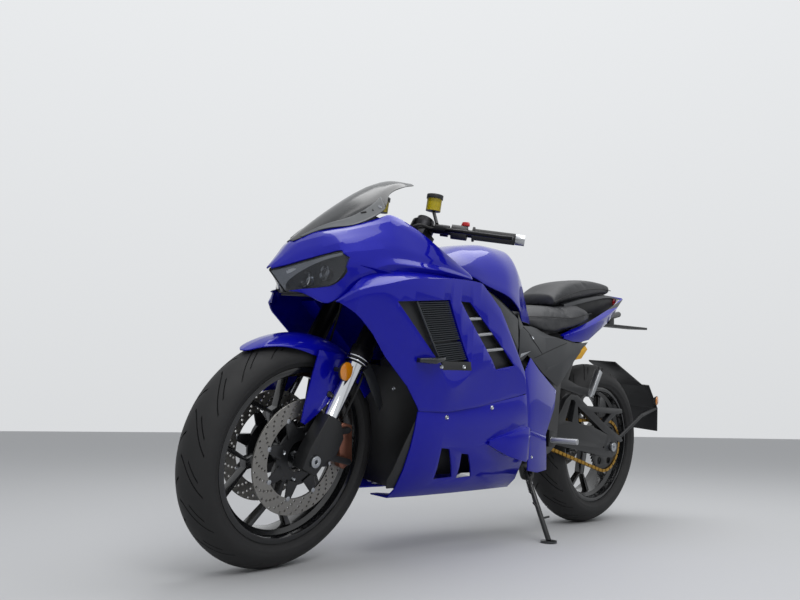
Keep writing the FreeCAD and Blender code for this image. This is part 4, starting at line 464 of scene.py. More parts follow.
def mirrored(bm):
    """The drawing's mirror image on the bike's other side."""
    other = bm.copy()
    bmesh.ops.scale(other, verts=other.verts, vec=(1, -1, 1))
    bmesh.ops.reverse_faces(other, faces=other.faces)
    return other


def merged_pair(bm):
    """The left drawing and its mirror image in one drawing."""
    taken(bm, mirrored(bm))
    return bm


def facing(bm, direction):
    """The sheet with its faces turned to look along a direction."""
    bm.normal_update()
    if sum(f.normal.dot(Vector(direction)) * f.calc_area() for f in bm.faces) < 0:
        bmesh.ops.reverse_faces(bm, faces=bm.faces)
    bm.normal_update()
    return bm


def line_verts(bm, points, closed=False):
    """Adds a chain of edges through points and returns its edges."""
    verts = [bm.verts.new(p) for p in points]
    edges = [bm.edges.new((a, b)) for a, b in zip(verts, verts[1:])]
    if closed:
        edges.append(bm.edges.new((verts[-1], verts[0])))
    return edges


def bridged(bm, lines, closed=False):
    """Joins open lines of points, one after another, into a sheet, and closed ones into a solid."""
    chains = [line_verts(bm, points, closed) for points in lines]
    for one, two in zip(chains, chains[1:]):
        bmesh.ops.bridge_loops(bm, edges=one + two)
    if closed:
        bmesh.ops.holes_fill(bm, edges=chains[0] + chains[-1])
        bmesh.ops.recalc_face_normals(bm, faces=bm.faces)


def sheet(rows, spacing, parts):
    """A smooth outer skin through rows. Its faces look out to the left or up."""
    bm = bmesh.new()
    bridged(bm, [finer(line, parts) for line in smooth_rows(rows, spacing)])
    return facing(bm, (0, 1, 1))


def moved_verts(bm, geom, vec):
    """Moves the vertices among what an operator made."""
    bmesh.ops.translate(bm, verts=[v for v in geom if isinstance(v, bmesh.types.BMVert)], vec=vec)


def rim_pulled(bm, vec):
    """Draws a wall out from a sheet's free edges."""
    rim = [e for e in bm.edges if len(e.link_faces) == 1]
    moved_verts(bm, bmesh.ops.extrude_edge_only(bm, edges=rim)["geom"], vec)


def slab(corners, vec):
    """A flat face through corners drawn out into a solid."""
    bm = bmesh.new()
    face = bm.faces.new([bm.verts.new(p) for p in corners])
    moved_verts(bm, bmesh.ops.extrude_face_region(bm, geom=[face])["geom"], vec)
    bmesh.ops.recalc_face_normals(bm, faces=bm.faces)
    return bm


def prism_mesh(outline, y_low, y_high):
    """A solid with an outline of (x, z) points, between two values of y."""
    return slab([(x, y_low, z) for x, z in outline], (0, y_high - y_low, 0))


def shaped(bm, cutters=(), wall=None, edge=0.0, angle=50.0):
    """A sheet cut by (operation, drawing) pairs, given a wall and then eased edges, as a new drawing."""
    work = loose_object(bm, "work")
    tools = []
    for operation, cutter in cutters:
        tool = loose_object(cutter, "tool")
        tools.append(tool)
        layer = work.modifiers.new("cut", "BOOLEAN")
        layer.operation = operation
        layer.solver = "EXACT"
        layer.object = tool
    if wall:
        layer = work.modifiers.new("wall", "SOLIDIFY")
        layer.thickness = wall
        layer.offset = -1
        layer.use_even_offset = True
    if edge:
        layer = work.modifiers.new("edge", "BEVEL")
        layer.width = edge
        layer.segments = 2
        layer.limit_method = "ANGLE"
        layer.angle_limit = math.radians(angle)
    graph = bpy.context.evaluated_depsgraph_get()
    result = bmesh.new()
    result.from_mesh(work.evaluated_get(graph).to_mesh())
    for one in [work] + tools:
        mesh = one.data
        bpy.data.objects.remove(one)
        bpy.data.meshes.remove(mesh)
    return result


def along(direction):
    """A rotation that turns +Z to a direction."""
    return Vector((0, 0, 1)).rotation_difference(Vector(direction)).to_matrix().to_4x4()


def turned(bm, a, b, radius, segments=32, edge=0.6, second=None):
    """Adds a round bar from a to b with eased ends. second is the radius at b."""
    a, b = Vector(a), Vector(b)
    made = bmesh.ops.create_cone(bm, cap_ends=True, segments=segments, radius1=radius,
                                 radius2=radius if second is None else second, depth=(b - a).length,
                                 matrix=Matrix.Translation((a + b) / 2) @ along(b - a))
    if edge:
        rims = {e for v in made["verts"] for e in v.link_edges if e.calc_face_angle(0) > 0.8}
        eased(bm, list(rims), edge, clamp=False)


def screw(bm, centre, direction, radius, height):
    """Adds a domed socket screw whose seat is at centre."""
    centre, out = Vector(centre), Vector(direction).normalized()
    made = bmesh.ops.create_cone(bm, cap_ends=True, segments=20, radius1=radius, radius2=radius * 0.72,
                                 depth=height,
                                 matrix=Matrix.Translation(centre + out * height / 2) @ along(direction))
    faces = {f for v in made["verts"] for f in v.link_faces}
    top = max(faces, key=lambda f: (f.calc_center_median() - centre).dot(out))
    bmesh.ops.inset_region(bm, faces=[top], thickness=radius * 0.3)
    bmesh.ops.translate(bm, verts=list(top.verts), vec=out * -height * 0.55)


def ring_about(axle, profile, steps):
    """A closed ring spun from (radius, y) points about an axle."""
    bm = bmesh.new()
    edges = line_verts(bm, [Vector((axle.x, y, axle.z + r)) for r, y in profile], closed=True)
    bmesh.ops.spin(bm, geom=edges, cent=axle, axis=(0, 1, 0), angle=2 * math.pi, steps=steps, use_merge=True)
    bmesh.ops.recalc_face_normals(bm, faces=bm.faces)
    return bm


def plate_on(bm, outline, y_low, y_high, edge=0.8):
    """Adds a flat plate with eased edges, drawn as (x, z) points."""
    plate = prism_mesh(outline, y_low, y_high)
    eased(plate, plate.edges[:], edge)
    taken(bm, plate)


def welt(bm, points, radius):
    """Adds a thin round cord along points."""
    for a, b in zip(points, points[1:]):
        turned(bm, a, b, radius, segments=8, edge=0)
    for p in points[1:-1]:
        bmesh.ops.create_icosphere(bm, subdivisions=1, radius=radius, matrix=Matrix.Translation(p))


# Tyres

GROOVE_PITCHES = 18
PITCH_COLUMNS = 16
GROOVE_DEPTH = 4.2
GROOVE_SPREAD = 2.2
GROOVE_SWEEP = 1.15
GROOVE_CURVE = 1.4
# Each groove's column in its pitch, and where it starts and ends as shares of the half width
GROOVES = ((0, 0.06, 0.86), (8, -0.86, -0.06), (4, 0.42, 0.8), (12, -0.8, -0.42))


def profile_of_tyre(radius, width):
    """Points (r, y) from bead to bead over the crown, with the flank's rings."""
    half = width / 2
    rise = half * 0.62 + 6
    crown = (half * half + rise * rise) / (2 * rise)
    top = math.asin(min(1.0, half / crown))
    seat = BEAD_RADIUS + 0.4
    shoulder = radius - half * 0.62
    middle = (shoulder + seat) / 2
    flank = [(seat, half * 0.72), (seat + 6, half * 0.76), (seat + 9, half * 0.86), (seat + 13, half * 0.88),
             (middle - 2, half - 2.6), (middle, half - 1.2), (middle + 3, half - 1.4),
             (shoulder - 14, half - 0.2)]
    count = 18
    angles = [top * (1 - 2 * k / count) for k in range(count + 1)]
    arc = [(radius - crown + crown * math.cos(a), crown * math.sin(a)) for a in angles]
    return flank + arc + [(r, -y) for r, y in reversed(flank)]


def tyre(name, axle, radius, width, body, node):
    """A tyre with curved grooves cut in its crown, each a column of faces that is pushed in."""
    steps = GROOVE_PITCHES * PITCH_COLUMNS
    bm = ring_about(axle, profile_of_tyre(radius, width), steps)
    half = width / 2
    cut = []
    for face in bm.faces:
        middle = face.calc_center_median() - axle
        if middle.length < radius - half * 0.72 or abs(middle.y) > half * 0.93:
            continue
        column = int(((math.atan2(middle.z, middle.x) / (2 * math.pi)) % 1.0) * steps) % PITCH_COLUMNS
        if any(column == at and low < middle.y / half < high for at, low, high in GROOVES):
            cut.append(face)
    for v in bm.verts:
        y = abs(v.co.y) / half
        sweep = math.radians(360 / GROOVE_PITCHES) * GROOVE_SWEEP * y ** GROOVE_CURVE
        v.co = axle + Matrix.Rotation(sweep, 3, "Y") @ (v.co - axle)
    region = bmesh.ops.extrude_face_region(bm, geom=cut)["geom"]
    bmesh.ops.delete(bm, geom=cut, context="FACES_ONLY")
    for v in region:
        if isinstance(v, bmesh.types.BMVert):
            out = Vector((v.co.x - axle.x, 0, v.co.z - axle.z)).normalized()
            v.co -= out * GROOVE_DEPTH + Vector((0, v.co.y / half * GROOVE_SPREAD, 0))
    new_piece(bm, name, RUBBER, body, node, slot="tyre", sharp=40, recalc=True)


tyre("front_tyre_carcass", FRONT_AXLE, FRONT_TYRE_RADIUS, FRONT_TYRE_WIDTH, "front_wheel", "front_tyre")
tyre("rear_tyre_carcass", REAR_AXLE, REAR_TYRE_RADIUS, REAR_TYRE_WIDTH, "rear_wheel", "rear_tyre")


# Pieces that keep the solid's shape, with eased edges and a finish for each region

CASTING_TOP = 119
SLIDER_TOP = 271
POT_SET_BACK = 29.8
POT_SET_OUT = 6
POT_RADIUS = 22.6
POT_LOW = 61
POT_HIGH = 93
BAR_WEIGHT_START = 270.5
STAND_FOOT = (528, 234)
FOOT_HALF = 5.5
FOOT_TOP = 60
# The grey deck of the tail: its height at x = 150, how fast it rises to the back, and its rear end
DECK_X = 150
DECK_Z = 832
DECK_RISE = 0.2
DECK_END = -95
FOLDED_PEG_X = 200
FOLDED_PEG_Z = 531
PEG_ROOT_Y = 157
FLOOR_UP = (PARKED.to_3x3().inverted() @ Vector((0, 0, 0.001))).normalized()
STAND_FLOOR = PARKED.inverted() @ Vector((PARKED @ Vector((*STAND_FOOT, 0))).xy.to_3d())


def fork_regions(p):
    """Black casting, chromed slider, black tube, by the height up the fork from the axle."""
    height = (p - FRONT_AXLE).dot(UP_AXIS)
    return 0 if height < CASTING_TOP else 1 if height < SLIDER_TOP else 2


def pot_regions(p):
    """Yellow pot between a black cap and a black stalk."""
    side = math.copysign(BAR_ROOT.y + POT_SET_OUT, p.y)
    near = math.hypot(p.x - (BAR_ROOT.x - POT_SET_BACK), p.y - side) < POT_RADIUS
    return 0 if near and POT_LOW < p.z - BAR_ROOT.z < POT_HIGH else 1


def bar_regions(p):
    """Black bars with bright end weights."""
    return 1 if (Vector((p.x, abs(p.y), p.z)) - BAR_ROOT).dot(BAR_SWEEP) > BAR_WEIGHT_START else 0


def pad_regions(p):
    """A grey foot under the black leg."""
    return 1 if abs((STAND_FLOOR - p).dot(FLOOR_UP)) < FOOT_HALF and p.z < FOOT_TOP else 0


def tail_regions(p):
    """The deck under the pillion's seat is grey, the wings and the tip are painted."""
    return 1 if p.z > DECK_Z + DECK_RISE * (DECK_X - p.x) and p.x > DECK_END else 0


def folded_peg_regions(p):
    """A bright peg on a black hanger."""
    return 1 if p.x < FOLDED_PEG_X and p.z > FOLDED_PEG_Z else 0


def peg_regions(p):
    """A bright peg on a black bracket."""
    return 1 if abs(p.y) > PEG_ROOT_Y else 0


for node, *finished in (
    ("front_rim", ENAMEL, 1.4), ("rear_rim", ENAMEL, 1.4), ("rear_disc", STEEL, 0.3),
    ("rear_sprocket", POWDER, 0.4), ("yokes", ANODISED, 1.2), ("front_axle", ZINC, 0.8),
    ("rear_axle", ZINC, 0.8), ("handlebars", (ANODISED, ALUMINIUM), 0.6, bar_regions),
    ("switch_housings", ABS, 1.2),
    ("grips", SOFT_RUBBER, 0.8), ("brake_levers", ANODISED, 0.8), ("main_frame", POWDER, 1.2),
    ("subframe", POWDER, 0.5), ("battery_box", ABS, 2.0), ("drive_motor", ALUMINIUM, 1.0),
    ("swing_arm", POWDER, 2.0), ("rear_guard", ABS, 0.8), ("front_stay", POWDER, 0.5),
    ("pillion_pegs", (POWDER, ALUMINIUM), 0.8, folded_peg_regions), ("shock_absorber", STEEL, 0.8),
    ("rear_caliper", BRONZE, 1.2), ("stand_bracket", POWDER, 0.8),
    ("side_stand", (POWDER, GREY_ABS), 0.6, pad_regions), ("plate_holder", ABS, 0.8),
    ("inner_panels", ABS, 1.0), ("side_trims", GREY_ABS, 1.0), ("indicators", SMOKED, 1.0),
    ("front_calipers", BRONZE, 1.6),
    ("fluid_pots", (FLUID, ABS), 0.8, pot_regions),
    ("fork_legs", (CAST_BLACK, CHROME, ANODISED), 1.2, fork_regions), ("chain", GOLD, 0.0),
    ("brake_hoses", SOFT_RUBBER, 0.0), ("fork_fins", GREY_ABS, 0.6), ("tail_lamp", RED, 0.5),
    ("belly_pan_left", LACQUER, 1.0), ("belly_pan_right", LACQUER, 1.0), ("side_covers", GREY_ABS, 0.8),
    ("pivot_covers", LACQUER, 1.2), ("tail_cowl", (LACQUER, GREY_ABS), 1.0, tail_regions),
    ("rider_pegs", (POWDER, ALUMINIUM), 0.8, peg_regions),
):
    dressed(node, *finished)


# Front brake discs: ground rings with drilled holes on black carriers, joined by bobbins

# Each ring of drilled holes: its share of the way from the inner edge to the outer, and its turn in pitches
DISC_ROWS = ((0.14, 0.0), (0.34, 0.25), (0.54, 0.5), (0.72, 0.75), (0.88, 0.15))
DRILLS = 24
DRILL_RADIUS = 3.2
ARMS = 8
ARM_HALF = 2.2
ARM_TURN = 12
BOLT_CIRCLE = 58
CARRIER_INNER = 40
CARRIER_OUTER = 74
# The arm's corners, as radius and degrees from its middle
ARM_CORNERS = ((66, -16), (107, -5), (107, 5), (66, 16))
BOBBIN_CIRCLE = 107.0
BOBBIN_HALF = Vector((0, 3.1, 0))


def disc_ring(offset):
    """One ground ring with its drilled holes."""
    low, high, rim = offset - DISC_WALL / 2, offset + DISC_WALL / 2, DISC_RADIUS
    ring = ring_about(FRONT_AXLE, [(DISC_INNER, low), (rim - 0.4, low), (rim, low + 0.4), (rim, high - 0.4),
                                   (rim - 0.4, high), (DISC_INNER, high)], steps=96)
    drills = bmesh.new()
    through = Vector((0, 9, 0))
    for share, phase in DISC_ROWS:
        radius = DISC_INNER + (rim - DISC_INNER) * share
        for i in range(DRILLS):
            spot = polar(FRONT_AXLE, radius, (i + phase) * 360.0 / DRILLS, offset)
            turned(drills, spot - through, spot + through, DRILL_RADIUS, segments=12, edge=0)
    return shaped(ring, [("DIFFERENCE", drills)])


def front_discs():
    """Both discs with their carriers, bobbins and bolts."""
    rings, carriers, bobbins = bmesh.new(), bmesh.new(), bmesh.new()
    for side in (1, -1):
        offset = DISC_Y * side
        taken(rings, disc_ring(offset))
        low, high = sorted((FRONT_HUB_FACE * side, offset - ARM_HALF * side))
        section = [(CARRIER_INNER, low), (CARRIER_OUTER, low), (CARRIER_OUTER, high), (CARRIER_INNER, high)]
        taken(carriers, ring_about(FRONT_AXLE, section, steps=64))
        for i in range(ARMS):
            a = i * 360.0 / ARMS + ARM_TURN
            corners = [polar(FRONT_AXLE, r, a + turn, offset - ARM_HALF) for r, turn in ARM_CORNERS]
            arm = slab(corners, (0, 2 * ARM_HALF, 0))
            eased(arm, arm.edges[:], 0.8, clamp=False)
            taken(carriers, arm)
            spot = polar(FRONT_AXLE, BOBBIN_CIRCLE, a, offset)
            turned(bobbins, spot - BOBBIN_HALF, spot + BOBBIN_HALF, 6.2, segments=20)
            if i % 2 == 0:
                seat = polar(FRONT_AXLE, BOLT_CIRCLE, a, high if side > 0 else low)
                screw(bobbins, seat, (0, side, 0), radius=6.0, height=4.5)
    ground = ringed(STEEL.copy(), STEERED @ FRONT_AXLE, pitch=0.7, strength=0.25)
    for part, name, material, slot in ((rings, "front_disc_rings", ground, "steel"),
                                       (carriers, "front_disc_carriers", POWDER, "black_metal"),
                                       (bobbins, "front_disc_bobbins", ZINC, "steel")):
        new_piece(part, name, material, "front_wheel", "front_discs", slot=slot, sharp=30)


front_discs()


# Bodywork tables: stations of x, each with its line of (y, z) points from the top down

NOSE = [
    (1514, [(0, 768), (8, 766), (14, 760), (17, 752), (15, 742), (10, 736), (4, 731)]),
    (1485, [(0, 808), (22, 802), (40, 786), (50, 765), (52, 735), (44, 712), (38, 707)]),
    (1459, [(0, 846), (34, 836), (62, 812), (78, 784), (80, 745), (70, 716), (66, 707)]),
    (1420, [(46, 872), (80, 858), (110, 830), (124, 795), (126, 760), (116, 722), (134, 684)]),
    (1393, [(62, 884), (98, 870), (134, 844), (154, 816), (157, 776), (151, 735), (153, 700)]),
    (1340, [(95, 902), (118, 892), (146, 864), (168, 830), (174, 800), (176, 772), (168, 744)]),
    (1266, [(118, 938), (138, 922), (160, 887), (178, 850), (183, 824), (192, 806), (183, 781)]),
    (1235, [(128, 953), (146, 933), (166, 892), (181, 855), (185, 828), (197, 811), (186, 787)]),
    (1161, [(150, 930), (162, 912), (174, 880), (185, 852), (189, 832), (203, 815), (190, 799)]),
    (1076, [(169, 889), (176, 878), (184, 862), (190, 845), (191, 834), (205, 819), (191, 805)]),
    (958, [(187, 832), (189, 830), (191, 828), (193, 825), (195, 822), (197, 819), (197, 816)]),
]
SCREEN = [
    (1462, [(0, 846), (8, 845), (16, 843)]), (1400, [(0, 908), (38, 898), (60, 883)]),
    (1330, [(0, 972), (62, 952), (97, 907)]), (1262, [(0, 1028), (76, 1004), (115, 953)]),
    (1244, [(0, 1041), (74, 1019), (114, 972)]), (1216, [(0, 1060), (68, 1042), (90, 1020)]),
    (1150, [(0, 1090), (50, 1078), (70, 1062)]), (1085, [(0, 1100), (22, 1097), (40, 1089)]),
]
FLANK = [
    (1409, [(150, 694), (171, 688), (171, 680), (169, 670), (166, 640)]),
    (1370, [(166, 742), (211, 724), (212, 705), (205, 655), (194, 560)]),
    (1300, [(182, 778), (225, 749), (226, 722), (214, 640), (196, 540)]),
    (1200, [(190, 800), (226, 780), (229, 662), (216, 570), (198, 470)]),
    (1110, [(192, 808), (222, 794), (228, 584), (216, 500), (203, 425)]),
    (1030, [(192, 811), (212, 806), (224, 500), (215, 462), (206, 425)]),
    (930, [(182, 818), (203, 812), (220, 560), (212, 490), (205, 425)]),
    (820, [(176, 752), (202, 744), (212, 600), (207, 520), (201, 435)]),
    (720, [(172, 636), (196, 628), (202, 580), (199, 530), (196, 470)]),
    (650, [(168, 566), (190, 556), (194, 530), (193, 505), (190, 480)]),
]
BELLY = [
    (1128, [(203, 431), (197, 380), (187, 330), (168, 270), (140, 212), (112, 183), (40, 177)]),
    (1018, [(205, 433), (199, 380), (190, 330), (172, 270), (146, 212), (116, 183), (40, 176)]),
    (880, [(204, 453), (198, 390), (190, 335), (172, 272), (146, 214), (116, 184), (40, 177)]),
    (740, [(200, 481), (194, 400), (186, 340), (168, 276), (142, 216), (112, 185), (40, 178)]),
    (600, [(190, 506), (184, 410), (175, 345), (158, 280), (134, 218), (106, 186), (40, 180)]),
]
TANK = [
    (1030, [(0, 884), (64, 880), (112, 866), (150, 848), (164, 832)]),
    (960, [(0, 917), (64, 913), (118, 895), (162, 862), (178, 832)]),
    (890, [(0, 944), (64, 940), (124, 916), (166, 868), (188, 814)]),
    (780, [(0, 967), (62, 963), (120, 935), (162, 880), (186, 796)]),
    (690, [(0, 970), (60, 966), (110, 935), (146, 872), (168, 762)]),
    (650, [(0, 962), (56, 957), (96, 922), (130, 858), (150, 730)]),
    (600, [(0, 858), (52, 853), (92, 835), (118, 796), (132, 730)]),
    (556, [(0, 778), (50, 775), (85, 768), (104, 752), (110, 730)]),
]
RIDER_SEAT = [
    (548, [(0, 782), (56, 779), (86, 762), (98, 735)]),
    (480, [(0, 800), (72, 795), (122, 770), (142, 722)]),
    (380, [(0, 812), (92, 806), (142, 778), (154, 738)]),
    (280, [(0, 832), (92, 827), (140, 802), (150, 768)]),
    (215, [(0, 840), (84, 834), (124, 816), (134, 792)]),
]
PILLION_SEAT = [
    (400, [(0, 852), (58, 848), (88, 834), (96, 818)]), (330, [(0, 902), (60, 895), (94, 868), (102, 848)]),
    (220, [(0, 932), (60, 926), (90, 904), (98, 880)]), (110, [(0, 950), (54, 945), (78, 927), (85, 906)]),
    (30, [(0, 954), (46, 950), (62, 938), (68, 920)]), (-38, [(0, 956), (36, 952), (48, 942), (52, 928)]),
]

# The lamp's stations of y, each with its top and bottom (x, z)
LAMPS = [
    (0, (1513, 757), (1460, 710)), (22, (1499, 763), (1457, 709)), (78, (1452, 790), (1433, 718)),
    (122, (1415, 811), (1416, 728)), (146, (1394, 820), (1403, 741)), (158, (1381, 804), (1388, 770)),
]

# Outlines of (x, z) points in the side view
FLANK_OUTLINE = [
    (1409, 690), (1373, 733), (1308, 790), (1191, 812), (1026, 822), (929, 818), (827, 748), (741, 649),
    (672, 566), (655, 500), (683, 492), (802, 470), (892, 451), (1018, 433), (1126, 431), (1132, 441),
    (1179, 495), (1262, 564), (1314, 618), (1355, 651),
]
GRILLE_OPENING = [(1262, 710), (1064, 742), (954, 562), (1071, 556), (1112, 584)]
GRILLE_PANE = [(1190, 720), (1066, 739), (958, 565), (1073, 559)]
GRILLE_RIM = [(1080, 570), (957, 578), (952, 554), (1074, 548)]
SLOT_OPENING = [(1014, 745), (970, 748), (740, 582), (834, 564)]
SLOT_BARS = [((987, 696), (918, 707)), ((951, 653), (858, 669)), ((912, 612), (790, 630))]
SEAT_TUB = [(376, 800), (330, 846), (246, 872), (44, 918), (-100, 914), (-98, 892), (20, 812), (150, 694),
            (330, 676), (452, 722), (400, 780)]
TAIL_TAB = [(310, 639), (242, 687), (226, 676), (262, 638), (297, 631)]
COVER_SEAMS = (((655, 712), (600, 668), (548, 634)), ((596, 616), (500, 646), (388, 685)))
COVER_CORNER = [(682, 609), (678, 623), (628, 636)]


# Bodywork and lamps

LAMP_STATIONS = 30
# The fin's stations, as x, z and how far it stands out
NOSE_FIN = ((1350, 791, 0.6), (1318, 789, 4.0), (1286, 787, 7.0), (1256, 785, 9.0), (1248, 784, 2.0))
LOOK_AHEAD = (1, 0.2, 0.3)
LAMP_OUTER_Y = 157.2
SHELL_DEPTH = 26
SHELL_WALL = 22
SEAL_DEPTH = 18
SEAL_WALL = 17.5
STRIP_WIDTH = 145.5
STRIP_TOP = 0.035
# How far down the lamp the light strip reaches at each station, as a share of the lamp's height
STRIP_DROPS = (0.97, 0.6, 0.22, 0.13, 0.12)
# The lens tube's ring, as radius and depth
TUBE_SECTION = [(17, 0), (19, 2), (19, 14), (21, 16), (19, 17), (15, 15), (12, 6)]
TUBE_SPOTS = ((1422, 60, 744), (1396, 104, 762))
BALL_RADIUS = 15
BALL_FLATNESS = 0.55
# How far before its tube's root the lens sits
BALL_AHEAD = 6


def lamp_lines():
    """The lamps' stations on smooth curves, as y, top (x, z) and bottom (x, z)."""
    width = LAMPS[-1][0]
    table = [(row[0], row[1:]) for row in LAMPS]
    return [(y, *line_at(table, y)) for y in [width * k / LAMP_STATIONS for k in range(LAMP_STATIONS + 1)]]


def lamp_space(reach, grow):
    """A cutter of the left lamp's outline, from behind it to before it."""
    lines = lamp_lines()
    sections = []
    for i, (y, (xt, zt), (xb, zb)) in enumerate(lines):
        below = grow + 8 * max(0.0, 1 - y / 74)
        y = y - grow if i == 0 else y + grow if i == len(lines) - 1 else y
        sections.append([(xt + reach, y, zt + grow), (xb + reach, y, zb - below), (xb - reach, y, zb - below),
                         (xt - reach, y, zt + grow)])
    bm = bmesh.new()
    bridged(bm, sections, closed=True)
    return bm


def nose():
    """Crowned nose with soft creases, open for both lamps, and the low fins beside them."""
    cuts = [("DIFFERENCE", lamp_space(reach=60, grow=2.2))]
    shell = shaped(sheet(NOSE, spacing=9.0, parts=3), cuts, wall=PANEL, edge=1.2, angle=16)
    new_piece(merged_pair(shell), "nose_panel", LACQUER, "frame", "nose_cowl", slot="gloss_blue")
    sections = []
    for x, z, reach in NOSE_FIN:
        y = skin_y(NOSE, x, z)
        sections.append([(x, y - 3, z + 1), (x, y + reach, z + 1.2), (x, y + reach, z - 0.8),
                         (x, y - 3, z - 5 - reach)])
    fin = bmesh.new()
    bridged(fin, sections, closed=True)
    new_piece(merged_pair(fin), "nose_fins", LACQUER, "frame", "nose_cowl", slot="gloss_blue")


def flank():
    """Side fairings with their long shoulder crease and the two openings."""
    cuts = [("INTERSECT", prism_mesh(FLANK_OUTLINE, 0, 400))]
    cuts += [("DIFFERENCE", prism_mesh(opening, 150, 300)) for opening in (GRILLE_OPENING, SLOT_OPENING)]
    left = shaped(sheet(FLANK, spacing=12.0, parts=4), cuts, wall=PANEL, edge=1.2, angle=14)
    right = mirrored(left)
    for bm, side in ((left, "_left"), (right, "_right")):
        new_piece(bm, "side_fairing_panel" + side, LACQUER, "frame", "side_fairing" + side, slot="gloss_blue")


def tank():
    """The crowned tank cover, rounded over its shoulders."""
    rows = [(x, rounded(line, 4)) for x, line in whole(TANK)]
    shell = shaped(sheet(rows, spacing=14.0, parts=1), wall=PANEL, edge=1.0, angle=60)
    new_piece(shell, "tank_panel", LACQUER, "frame", "tank_cover", slot="gloss_blue", sharp=50)


def screen():
    """The smoked screen, a blown bubble with a narrow tail."""
    rows = [(x, rounded(line, 6)) for x, line in whole(SCREEN)]
    shell = shaped(sheet(rows, spacing=10.0, parts=1), wall=3.0, edge=0.8, angle=60)
    new_piece(shell, "screen_bubble", SMOKED, "frame", "windscreen", slot="smoked_screen", sharp=50)


BAND_BACK = 1244
BAND_FRONT = 1448
BAND_TIP = 7
BAND_TAPER = 36 / 186
BAND_OFFSET = 2.6
BAND_SLOT = (1301, 947)
BAND_HOLE = (1278, 958)
BAND_BOLT = (1258, 972)


def screen_band():
    """The satin strip along the screen's lower edge, black discs as painted shade for its oval slot and hole,
    and its bright bolt.
    """
    table = [(x, rounded(line, 6)) for x, line in SCREEN]
    rows = []
    for line in smooth_rows(table, spacing=4.0):
        x = line[0][0]
        if not BAND_BACK < x < BAND_FRONT:
            continue
        width = BAND_TIP + (BAND_FRONT - x) * BAND_TAPER
        lengths = lengths_along(line)
        picked = []
        for k in range(6):
            i, share = run_at(lengths, lengths[-1] - width * (1 - k / 5))
            a, b = Vector(line[i]), Vector(line[i + 1])
            run = (b - a).normalized()
            picked.append(a.lerp(b, share) + Vector((0, -run.z, run.y)) * BAND_OFFSET)
        rows.append(picked)
    band = bmesh.new()
    bridged(band, rows)
    band = shaped(facing(band, (0, 1, 0.4)), wall=2.2, edge=0.7, angle=40)
    new_piece(merged_pair(band), "screen_bands", SATIN, "frame", "screen_brackets", slot="grey_plastic")
    # Black discs on the band's surface: painted shade that stands for the dark inside of the oval slot and
    # the hole
    painted_hole_shades = bmesh.new()
    for x, z in [(BAND_SLOT[0] + 2.5 * k, BAND_SLOT[1] - k) for k in range(-2, 3)] + [BAND_HOLE]:
        slope = (skin_y(table, x, z + 2) - skin_y(table, x, z - 2)) / 4
        out = Vector((0, 1, -slope)).normalized()
        spot = on_table(table, x, z) + out * 2.4
        turned(painted_hole_shades, spot, spot + out * 0.9, 3.2, segments=20, edge=0.3)
    new_piece(merged_pair(painted_hole_shades), "band_painted_hole_shades", BLACK_HOLE, "frame", slot="black_plastic", recalc=True)
    bolt = bmesh.new()
    screw(bolt, on_table(table, *BAND_BOLT) + Vector((0, 2.4, 0)), (0, 1, 0.3), radius=5.5, height=3.4)
    new_piece(merged_pair(bolt), "band_bolts", ZINC, "frame", slot="steel", recalc=True)


def lamp_tubes():
    """Two chromed lens tubes, each with a bulging lens."""
    tubes = bmesh.new()
    quarter = Matrix.Rotation(math.radians(-90), 3, "Z")
    for x, y, z in TUBE_SPOTS:
        ring = ring_about(Vector((0, 0, 0)), TUBE_SECTION, 32)
        bmesh.ops.rotate(ring, verts=ring.verts, cent=(0, 0, 0), matrix=quarter)
        bmesh.ops.translate(ring, verts=ring.verts, vec=(x, y, z))
        taken(tubes, ring)
        ball = bmesh.new()
        bmesh.ops.create_uvsphere(ball, u_segments=24, v_segments=12, radius=BALL_RADIUS)
        bmesh.ops.scale(ball, verts=ball.verts, vec=(BALL_FLATNESS, 1, 1))
        bmesh.ops.translate(ball, verts=ball.verts, vec=(x + BALL_AHEAD, y, z))
        taken(tubes, ball)
    return tubes


def lamp_strip():
    """The light strip under the brow, deep at the middle of the bike and thin at its outer end."""
    lines = []
    for (y, (xt, zt), (xb, zb)), drop in zip(LAMPS, STRIP_DROPS):
        lines.append((y + 0.5, [(xt + (xb - xt) * s - 4.5, zt + (zb - zt) * s)
                                for s in (STRIP_TOP, (STRIP_TOP + drop) / 2, drop)]))
    stations = [0.5 + STRIP_WIDTH * k / 24 for k in range(25)]
    strip = bmesh.new()
    bridged(strip, [[(x, y, z) for x, z in line_at(lines, y)] for y in stations])
    return shaped(facing(strip, (1, 0.2, 0.6)), wall=1.2)


